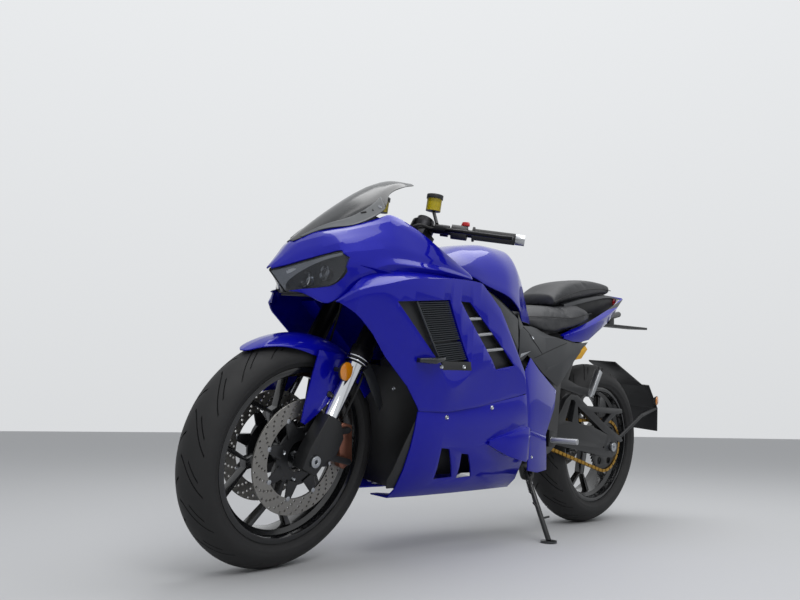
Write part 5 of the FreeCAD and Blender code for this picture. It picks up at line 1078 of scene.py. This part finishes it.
def lamps():
    """Both lamps: dark shell, seal, two lens tubes, light strip and a clear cover."""
    rows = []
    for y, (xt, zt), (xb, zb) in lamp_lines():
        y = min(y, LAMP_OUTER_Y)
        middle = ((xt + xb) / 2 + 1.2, y, (zt + zb) / 2)
        rows.append([(xt - 0.4, y, zt - 0.8), middle, (xb - 0.4, y, zb + 0.8)])
    cover = bmesh.new()
    bridged(cover, [finer(row, 4) for row in rows])
    cover = shaped(facing(cover, LOOK_AHEAD), wall=2.2)
    shell = bmesh.new()
    bridged(shell, [[(x - SHELL_DEPTH, y, z) for x, y, z in (row[0], row[2])] for row in rows])
    facing(shell, LOOK_AHEAD)
    rim_pulled(shell, (SHELL_WALL, 0, 0))
    shell = shaped(shell, wall=1.6)
    seal = bmesh.new()
    bridged(seal, [[(x - SEAL_DEPTH, y + (2 if y > 150 else 0), z + up)
                    for up, (x, y, z) in ((1.8, row[0]), (-1.8, row[2]))] for row in rows])
    flat = seal.faces[:]
    rim_pulled(seal, (SEAL_WALL, 0, 0))
    bmesh.ops.delete(seal, geom=flat, context="FACES")
    seal = shaped(seal, wall=2.0)
    for part, name, material, slot in ((cover, "lamp_covers", LENS, "smoked_lens"),
                                       (shell, "lamp_shells", LAMP_GREY, "black_plastic"),
                                       (seal, "lamp_seals", BLACK_HOLE, "black_plastic"),
                                       (lamp_tubes(), "lamp_tubes", CHROME, "steel"),
                                       (lamp_strip(), "lamp_light_strips", GLOW, "smoked_lens")):
        new_piece(merged_pair(part), name, material, "frame", "headlamps", slot=slot)


LOUVRES = 30
DIVIDER = 9
LOUVRE_LOW = 566.0
LOUVRE_PITCH = 5.9
LOUVRE_RISE = 0.16
LOUVRE_ZERO_X = 1100.0
PAN_DEPTH = 15.0


def louvre_z(low, x):
    """The height at x of the louvre that is at a height of low at LOUVRE_ZERO_X."""
    return low + LOUVRE_RISE * (LOUVRE_ZERO_X - x)


def louvre_ends(low):
    """Where a louvre enters and leaves the pane."""
    hits = []
    for (xa, za), (xb, zb) in zip(GRILLE_PANE, GRILLE_PANE[1:] + GRILLE_PANE[:1]):
        fa, fb = za - louvre_z(low, xa), zb - louvre_z(low, xb)
        if fa * fb < 0:
            hits.append(xa + (xb - xa) * fa / (fa - fb))
    return sorted(hits)


def offset_outline(outline, distance):
    """An outline of (x, z) points moved outwards, with mitred corners."""
    area = sum(a[0] * b[1] - b[0] * a[1] for a, b in zip(outline, outline[1:] + outline[:1]))
    sign = 1 if area > 0 else -1
    result = []
    for i, p in enumerate(outline):
        before, after = Vector(outline[i - 1]), Vector(outline[(i + 1) % len(outline)])
        d0, d1 = (Vector(p) - before).normalized(), (after - Vector(p)).normalized()
        n0, n1 = Vector((d0.y, -d0.x)) * sign, Vector((d1.y, -d1.x)) * sign
        result.append(tuple(Vector(p) + (n0 + n1) * (distance / (1 + n0.dot(n1)))))
    return result


def pan(opening):
    """A black pan behind an opening, with side walls up to the panel."""
    space = prism_mesh(offset_outline(opening, 1.2), 60, 400)
    back = shaped(sheet(shifted(FLANK, -PANEL - PAN_DEPTH), spacing=14.0, parts=3), [("INTERSECT", space)])
    rim_pulled(back, (0, PAN_DEPTH - 0.5, 0))
    return shaped(back, wall=1.2)


def slat(bm, x0, x1, height, back, front, thick, tilt):
    """Adds a thin blade from x0 to x1 that follows the skin. height gives z at x."""
    stations = max(2, int(abs(x1 - x0) / 24) + 1)
    sections = []
    for k in range(stations):
        x = x0 + (x1 - x0) * k / (stations - 1)
        z = height(x)
        y = skin_y(FLANK, x, z)
        sections.append([(x, y - front, z - tilt), (x, y - front, z - tilt + thick),
                         (x, y - back, z + tilt + thick), (x, y - back, z + tilt)])
    bridged(bm, sections, closed=True)


def grilles():
    """Fine louvres in the front opening with an open duct ahead, and three bright bars in the rear one."""
    pans = pan(GRILLE_OPENING)
    taken(pans, pan(SLOT_OPENING))
    blades = bmesh.new()
    for i in range(LOUVRES):
        low = LOUVRE_LOW + LOUVRE_PITCH * i
        ends = louvre_ends(low)
        if i != DIVIDER and len(ends) == 2 and ends[1] - ends[0] > 8:
            slat(blades, ends[0] + 1, ends[1] - 1, lambda x: louvre_z(low, x), back=10.0, front=3.2,
                 thick=1.3, tilt=1.6)
    a, b = [on_table(FLANK, *GRILLE_PANE[corner]) - Vector((0, 6.5, 0)) for corner in (0, 3)]
    turned(blades, a, b, 3.2, segments=12, edge=0)
    rim = shaped(sheet(shifted(FLANK, 0.6), spacing=12.0, parts=4),
                 [("INTERSECT", prism_mesh(GRILLE_RIM, 150, 300))], wall=2.4, edge=0.8, angle=30)
    bars = bmesh.new()
    for a, b in SLOT_BARS:
        slope = (b[1] - a[1]) / (b[0] - a[0])
        slat(bars, a[0] + 2, b[0] - 4, lambda x: a[1] + slope * (x - a[0]) - 2, back=8.0, front=1.6,
             thick=7.5, tilt=1.5)
    eased(bars, crisp_edges(bars, 0.6), 1.2)
    for part, name, material, slot in ((pans, "grille_pans", ABS, "black_plastic"),
                                       (blades, "grille_louvres", LOUVRE, "grey_plastic"),
                                       (rim, "grille_rims", ABS, "grey_plastic"),
                                       (bars, "slot_bars", ALUMINIUM, "aluminium")):
        new_piece(merged_pair(part), name, material, "frame", "air_grilles", slot=slot)


nose()
flank()
tank()
screen()
screen_band()
lamps()
grilles()


# Front mudguard, fork trim and reflectors

# The arch's section from its crown outwards, as y and the drop from the crown
ARCH_SECTION = ((0, 0), (22, 2), (42, 8), (58, 18), (68, 32), (71, 59))
ARCH_FIRST_DEGREE = 54
ARCH_LAST_DEGREE = 142
# How low the skirt's edge reaches, as radii at angles about the axle
SKIRT_ANGLES = (54, 60, 66, 72, 80, 88, 94, 102, 142)
SKIRT_RADII = (309.4, 305, 297, 287, 271, 259, 254, 251, 251)
EAR_INNER_Y = 73


def mudguard():
    """Crowned arch over the front tyre with a smooth lower edge. Its ears keep the solid's shape."""
    crown = FRONT_TYRE_RADIUS + 12
    half = rounded([(y, crown - drop) for y, drop in ARCH_SECTION], 6)
    lengths = lengths_along(half)
    rows = []
    for degrees in range(ARCH_FIRST_DEGREE, ARCH_LAST_DEGREE + 1):
        low = steady_curve(SKIRT_ANGLES, SKIRT_RADII, degrees)
        i = max(j for j in range(len(half) - 1) if half[j][1] >= low)
        share = (half[i][1] - low) / (half[i][1] - half[i + 1][1])
        reach = lengths[i] + (lengths[i + 1] - lengths[i]) * share
        line = []
        for j in range(13):
            i, share = run_at(lengths, reach * j / 12)
            line.append([half[i][axis] + (half[i + 1][axis] - half[i][axis]) * share for axis in (0, 1)])
        across = [(-y, r) for y, r in reversed(line[1:])] + line
        rows.append([polar(FRONT_AXLE, r, degrees, y) for y, r in across])
    arch = bmesh.new()
    bridged(arch, rows)
    arch.normal_update()
    if sum(f.normal.dot(f.calc_center_median() - FRONT_AXLE) for f in arch.faces) < 0:
        bmesh.ops.reverse_faces(arch, faces=arch.faces)
    arch = shaped(arch, wall=3.0, edge=1.0, angle=60)
    new_piece(arch, "mudguard_arch", LACQUER, "steering", "front_mudguard", slot="gloss_blue", sharp=50)
    ears = merged_node("front_mudguard")
    upright = STEERED.inverted()
    inner = [f for f in ears.faces if max(abs((upright @ v.co).y) for v in f.verts) < EAR_INNER_Y]
    bmesh.ops.delete(ears, geom=inner, context="FACES")
    joined_flats(ears, 1.5)
    eased(ears, crisp_edges(ears, 0.6), 0.0012)
    new_piece(ears, "mudguard_ears", LACQUER, "steering", "front_mudguard", slot="gloss_blue", upright=False)


def fork_trim():
    """Two bright rings that close the dust seal of each leg, and the mudguard's bolts."""
    bolt = bmesh.new()
    screw(bolt, (1358, 86.5, 461), (0, 1, 0), radius=9.0, height=5.0)
    new_piece(merged_pair(bolt), "mudguard_bolts", POWDER, "steering", slot="black_metal", recalc=True)
    rings = bmesh.new()
    for height, radius in ((274.0, 31.2), (285.0, 31.4)):
        spot = FRONT_AXLE + UP_AXIS * height + Vector((0, LEG_Y, 0))
        turned(rings, spot, spot + UP_AXIS * 4.5, radius, segments=56, edge=1.2)
    new_piece(merged_pair(rings), "fork_seal_rings", CHROME, "steering", slot="steel", recalc=True)


def reflector(name, node, body, spot, stem, direction, radius):
    """A round amber reflector in a black cup on its stem, on both sides."""
    spot, out = Vector(spot), Vector(direction).normalized()
    cup = bmesh.new()
    turned(cup, spot - out * 12, spot - out * 1.5, radius * 0.85, segments=40, edge=1.2, second=radius + 2.6)
    turned(cup, stem, spot - out * 7, 6.0, segments=20, edge=0)
    new_piece(merged_pair(cup), name + "_cups", ABS, body, node, slot="black_plastic", recalc=True)
    lens = bmesh.new()
    turned(lens, spot - out * 2.5, spot + out * 1.2, radius, segments=40, edge=1.4)
    new_piece(merged_pair(lens), name + "_lenses", AMBER, body, node, slot="amber_plastic", recalc=True)


mudguard()
fork_trim()
reflector("front_reflector", "front_reflectors", "steering", spot=(1347, 125, 527), stem=(1347, 82, 527),
          direction=(-0.12, 0.99, 0), radius=24.0)
reflector("rear_reflector", "rear_reflectors", "frame", spot=(-388, 106, 505), stem=(-388, 93, 505),
          direction=(-0.2, 0.98, 0), radius=18.0)


# Seats: padded covers over foam, with welts along their sides

PAD_LIP = 8
PAD_NARROWING = 0.97
PAD_GRID_M = 0.005
PAD_SWELL_LIMIT_M = 0.008
CLOTH_FRAMES = 20


def applied(piece):
    """Bakes every modifier of a piece into its mesh."""
    graph = bpy.context.evaluated_depsgraph_get()
    graph.update()
    mesh = bpy.data.meshes.new_from_object(piece.evaluated_get(graph), depsgraph=graph)
    piece.modifiers.clear()
    old = piece.data
    piece.data = mesh
    if not mesh.materials:
        mesh.materials.append(old.materials[0])


def swelled(piece):
    """Blows a pad up a little with a cloth simulation."""
    cloth = piece.modifiers.new("swell", "CLOTH")
    cloth.settings.use_pressure = True
    cloth.settings.uniform_pressure_force = 4.0
    cloth.settings.effector_weights.gravity = 0.0
    cloth.settings.quality = 5
    cloth.point_cache.frame_start = 1
    cloth.point_cache.frame_end = CLOTH_FRAMES
    for frame_number in range(1, CLOTH_FRAMES + 1):
        bpy.context.scene.frame_set(frame_number)
    applied(piece)
    bpy.context.scene.frame_set(1)


def cushion(table, name, node):
    """A crowned closed pad through a table's half lines, swelled by a cloth simulation and then smoothed."""
    rows = []
    for x, half in whole(table):
        edge_y, edge_z = half[-1]
        rows.append((x, rounded(half, 4) + [(edge_y - 10, edge_z - PAD_LIP)]))
    sections = []
    for line in smooth_rows(rows, spacing=12.0):
        x, y, z = line[0]
        sections.append([(p[0], p[1] * PAD_NARROWING, p[2]) for p in line]
                        + [(x, y * PAD_NARROWING * 0.93, z - PAD_LIP)])
    pad = bmesh.new()
    bridged(pad, sections, closed=True)
    piece = new_piece(pad, name, VINYL, "frame", node, slot="seat_leather", sharp=60)
    bpy.context.view_layer.objects.active = piece
    layer = piece.modifiers.new("grid", "REMESH")
    layer.mode = "VOXEL"
    layer.voxel_size = PAD_GRID_M
    applied(piece)
    rest = [v.co.copy() for v in piece.data.vertices]
    swelled(piece)
    for v, old in zip(piece.data.vertices, rest):
        shift = v.co - old
        if shift.length > PAD_SWELL_LIMIT_M:
            v.co = old + shift.normalized() * PAD_SWELL_LIMIT_M
    bm = bmesh.new()
    bm.from_mesh(piece.data)
    for _ in range(3):
        bmesh.ops.smooth_vert(bm, verts=bm.verts, factor=0.5, use_axis_x=True, use_axis_y=True,
                              use_axis_z=True)
    bm.to_mesh(piece.data)
    bm.free()
    for polygon in piece.data.polygons:
        polygon.use_smooth = True
    layer = piece.modifiers.new("soft", "SUBSURF")
    layer.levels = 1
    layer.render_levels = 1


def seat_welts(table, name, node, spread):
    """The sewn cord along both sides of a seat."""
    bm = bmesh.new()
    points = [Vector(line[2]) + Vector((0, spread, -4.0)) for line in smooth_rows(table, spacing=16.0)]
    welt(bm, points, radius=1.5)
    new_piece(merged_pair(bm), name, SOFT_RUBBER, "frame", node, slot="seat_leather")


cushion(RIDER_SEAT, "rider_seat_pad", "rider_seat")
cushion(PILLION_SEAT, "pillion_seat_pad", "pillion_seat")
seat_welts(RIDER_SEAT, "rider_seat_welt", "rider_seat", 4.0)
seat_welts(PILLION_SEAT, "pillion_seat_welt", "pillion_seat", 3.0)


# Screws, the stand's spring and small fittings

# Places of the screws in the side view
FAIRING_SCREWS = ((1082, 556), (986, 562))
BELLY_SCREWS = ((1017, 418), (826, 450))
TRIM_SCREWS = (("side_covers", 610, 680), ("pivot_covers", 565, 293), ("inner_panels", 1178, 484))
CORNER_SPOT = (655, 622)
CORNER_WALL = 2.2
TUB_HALF = 46
TAB_INNER = 126
TAB_OUTER = 131


def on_node(node, x, z):
    """Where a solid's left side is struck at x and z of the upright bike."""
    mesh = frame["nodes"][node].data
    corners = [PARKED.inverted() @ v.co for v in mesh.vertices]
    tree = BVHTree.FromPolygons(corners, [p.vertices for p in mesh.polygons])
    return tree.ray_cast(Vector((x, 400, z)), Vector((0, -1, 0)))[0] or Vector((x, 150, z))


def fittings():
    """The screws of the panels and trims."""
    bolts = bmesh.new()
    for x, z in FAIRING_SCREWS:
        screw(bolts, on_table(FLANK, x, z) + Vector((0, 1.2, 0)), (0, 1, 0.05), radius=6.0, height=3.2)
    for x, z in BELLY_SCREWS:
        screw(bolts, on_table(BELLY, x, z), (0, 1, -0.1), radius=6.5, height=3.2)
    new_piece(merged_pair(bolts), "panel_screws", ZINC, "frame", slot="steel", recalc=True)
    small = bmesh.new()
    for node, x, z in TRIM_SCREWS:
        screw(small, on_node(node, x, z), (0, 1, 0.1), radius=5.0, height=3.0)
    new_piece(merged_pair(small), "trim_screws", ZINC, "frame", slot="steel", recalc=True)


def tail_details():
    """The black tub under the seats, the yellow tab, the bright corner and the covers' seams."""
    tub = bmesh.new()
    plate_on(tub, SEAT_TUB, -TUB_HALF, TUB_HALF, edge=6.0)
    new_piece(tub, "seat_tub", ABS, "frame", slot="black_plastic")
    tab = bmesh.new()
    plate_on(tab, TAIL_TAB, TAB_INNER, TAB_OUTER)
    new_piece(merged_pair(tab), "yellow_tabs", YELLOW_PLASTIC, "frame", slot="amber_plastic")
    seams = bmesh.new()
    for run in COVER_SEAMS:
        points = []
        for a, b in zip(run, run[1:]):
            points += [on_node("side_covers", *Vector(a).lerp(Vector(b), k / 6)) for k in range(7)]
        welt(seams, [p + Vector((0, 0.2, 0)) for p in points if p.y > 120], radius=1.3)
    new_piece(merged_pair(seams), "cover_seams", BLACK_HOLE, "frame", slot="black_plastic", recalc=True)
    corner = bmesh.new()
    y = on_node("side_covers", *CORNER_SPOT).y
    plate_on(corner, COVER_CORNER, y, y + CORNER_WALL, edge=0.5)
    new_piece(merged_pair(corner), "bright_corners", ZINC, "frame", slot="steel")


SWITCH_ALONG_BAR = 124
SWITCH_ABOVE_BAR = 20
SWITCH_HEIGHT = 12
SWITCH_OVAL = 0.55


def stop_switch():
    """The red oval button on the left bar."""
    button = bmesh.new()
    spot = BAR_ROOT + BAR_SWEEP * SWITCH_ALONG_BAR + Vector((0, 0, SWITCH_ABOVE_BAR))
    turned(button, spot, spot + Vector((0, 0, SWITCH_HEIGHT)), 15.0, segments=32, edge=2.5, second=12.0)
    bmesh.ops.scale(button, verts=button.verts, vec=(SWITCH_OVAL, 1, 1), space=Matrix.Translation(-spot))
    new_piece(button, "stop_switch", RED_PLASTIC, "steering", slot="red_lens", recalc=True)


HOOK = Vector((36, 4, 26))
TANG_REACH = 118
KICK_REACH = 150
SPRING_COILS = 16
SPRING_RADIUS = 6.0
SPRING_WIRE = 1.4
COIL_STEPS = 10
# Where the coils start and how long they are, as shares of the spring's length
COILS_START = 0.12
COILS_SHARE = 0.6
LOW_HOOK_REACH = 104
LOW_HOOK = Vector((22, 4, 4))
KICK = Vector((-30, 10, 6))


def spring():
    """The stand's return spring: close coils between a hook on the bracket and a tang on the leg."""
    leg = (STAND_FLOOR - STAND_PIVOT).normalized()
    top = STAND_PIVOT + HOOK
    low = STAND_PIVOT + leg * LOW_HOOK_REACH + LOW_HOOK
    run = low - top
    turn = Matrix.Translation(top) @ along(run)
    steps = SPRING_COILS * COIL_STEPS
    points = [top, top.lerp(low, 0.1)]
    for k in range(steps + 1):
        a = 2 * math.pi * k / COIL_STEPS
        z = run.length * (COILS_START + COILS_SHARE * k / steps)
        points.append(turn @ Vector((SPRING_RADIUS * math.cos(a), SPRING_RADIUS * math.sin(a), z)))
    points += [top.lerp(low, 0.75), low]
    coil = bmesh.new()
    for a, b in zip(points, points[1:]):
        turned(coil, a, b, SPRING_WIRE, segments=6, edge=0)
    new_piece(coil, "stand_spring", POWDER, "side_stand", slot="black_metal", recalc=True)
    tang = bmesh.new()
    root = STAND_PIVOT + leg * TANG_REACH
    turned(tang, root, low + (low - root) * 0.25, 3.0, segments=12, edge=0.5)
    end = STAND_PIVOT + leg * KICK_REACH
    turned(tang, end, end + KICK, 3.4, segments=12, edge=0.5)
    new_piece(tang, "stand_tangs", POWDER, "side_stand", slot="black_metal", recalc=True)


fittings()
tail_details()
stop_switch()
spring()


# Floor, backdrop and light

def stage():
    """A plain pale floor under an even sky that is brightest overhead, with two soft lamps."""
    bm = bmesh.new()
    bmesh.ops.create_grid(bm, x_segments=2, y_segments=2, size=60)
    floor = loose_object(bm, "floor")
    paint = finish("pale studio floor", "#B9BABC", roughness=0.75, grain=3.0, bump=0.05, darker=0.98)
    floor.data.materials.append(paint)
    world = bpy.data.worlds.new("studio")
    bpy.context.scene.world = world
    world.use_nodes = True
    tree = world.node_tree
    tree.nodes.clear()
    rays = add(tree, "ShaderNodeLightPath")
    place = add(tree, "ShaderNodeTexCoord").outputs["Generated"]
    height = add(tree, "ShaderNodeSeparateXYZ", {"Vector": place}).outputs["Z"]
    sky = add(tree, "ShaderNodeMapRange", {"Value": height, "From Min": -0.05, "From Max": 0.9,
                                           "To Min": 0.2, "To Max": 0.8}).outputs["Result"]
    seen = add(tree, "ShaderNodeMath", {0: rays.outputs["Is Camera Ray"], 1: rays.outputs["Is Glossy Ray"]},
               operation="MAXIMUM")
    shown = add(tree, "ShaderNodeMath", {0: seen.outputs["Value"], 1: rays.outputs["Is Transmission Ray"]},
                operation="MAXIMUM")
    pale = add(tree, "ShaderNodeMapRange", {"Value": height, "From Min": -0.1, "From Max": 0.9,
                                            "To Min": 0.78, "To Max": 1.0}).outputs["Result"]
    strength = add(tree, "ShaderNodeMix", {"Factor": shown.outputs["Value"], "A": sky, "B": pale})
    back = add(tree, "ShaderNodeBackground", {"Color": colour("#F1F3F5"),
                                              "Strength": strength.outputs["Result"]})
    add(tree, "ShaderNodeOutputWorld", {"Surface": back.outputs["Background"]})
    for name, spot, target, size, power in (
        ("key", (1.6, 3.4, 3.6), (0.1, 0, 0.5), 2.4, 95.0),
        ("top", (-0.4, 0.2, 3.8), (0, 0, 0.5), 3.0, 70.0),
    ):
        data = bpy.data.lights.new(name, "AREA")
        data.size = size
        data.energy = power
        lamp = bpy.data.objects.new(name, data)
        turn = (Vector(target) - Vector(spot)).to_track_quat("-Z", "Y").to_matrix().to_4x4()
        lamp.matrix_world = Matrix.Translation(spot) @ turn
        bpy.context.scene.collection.objects.link(lamp)


stage()
bpy.context.scene.view_settings.view_transform = "Standard"
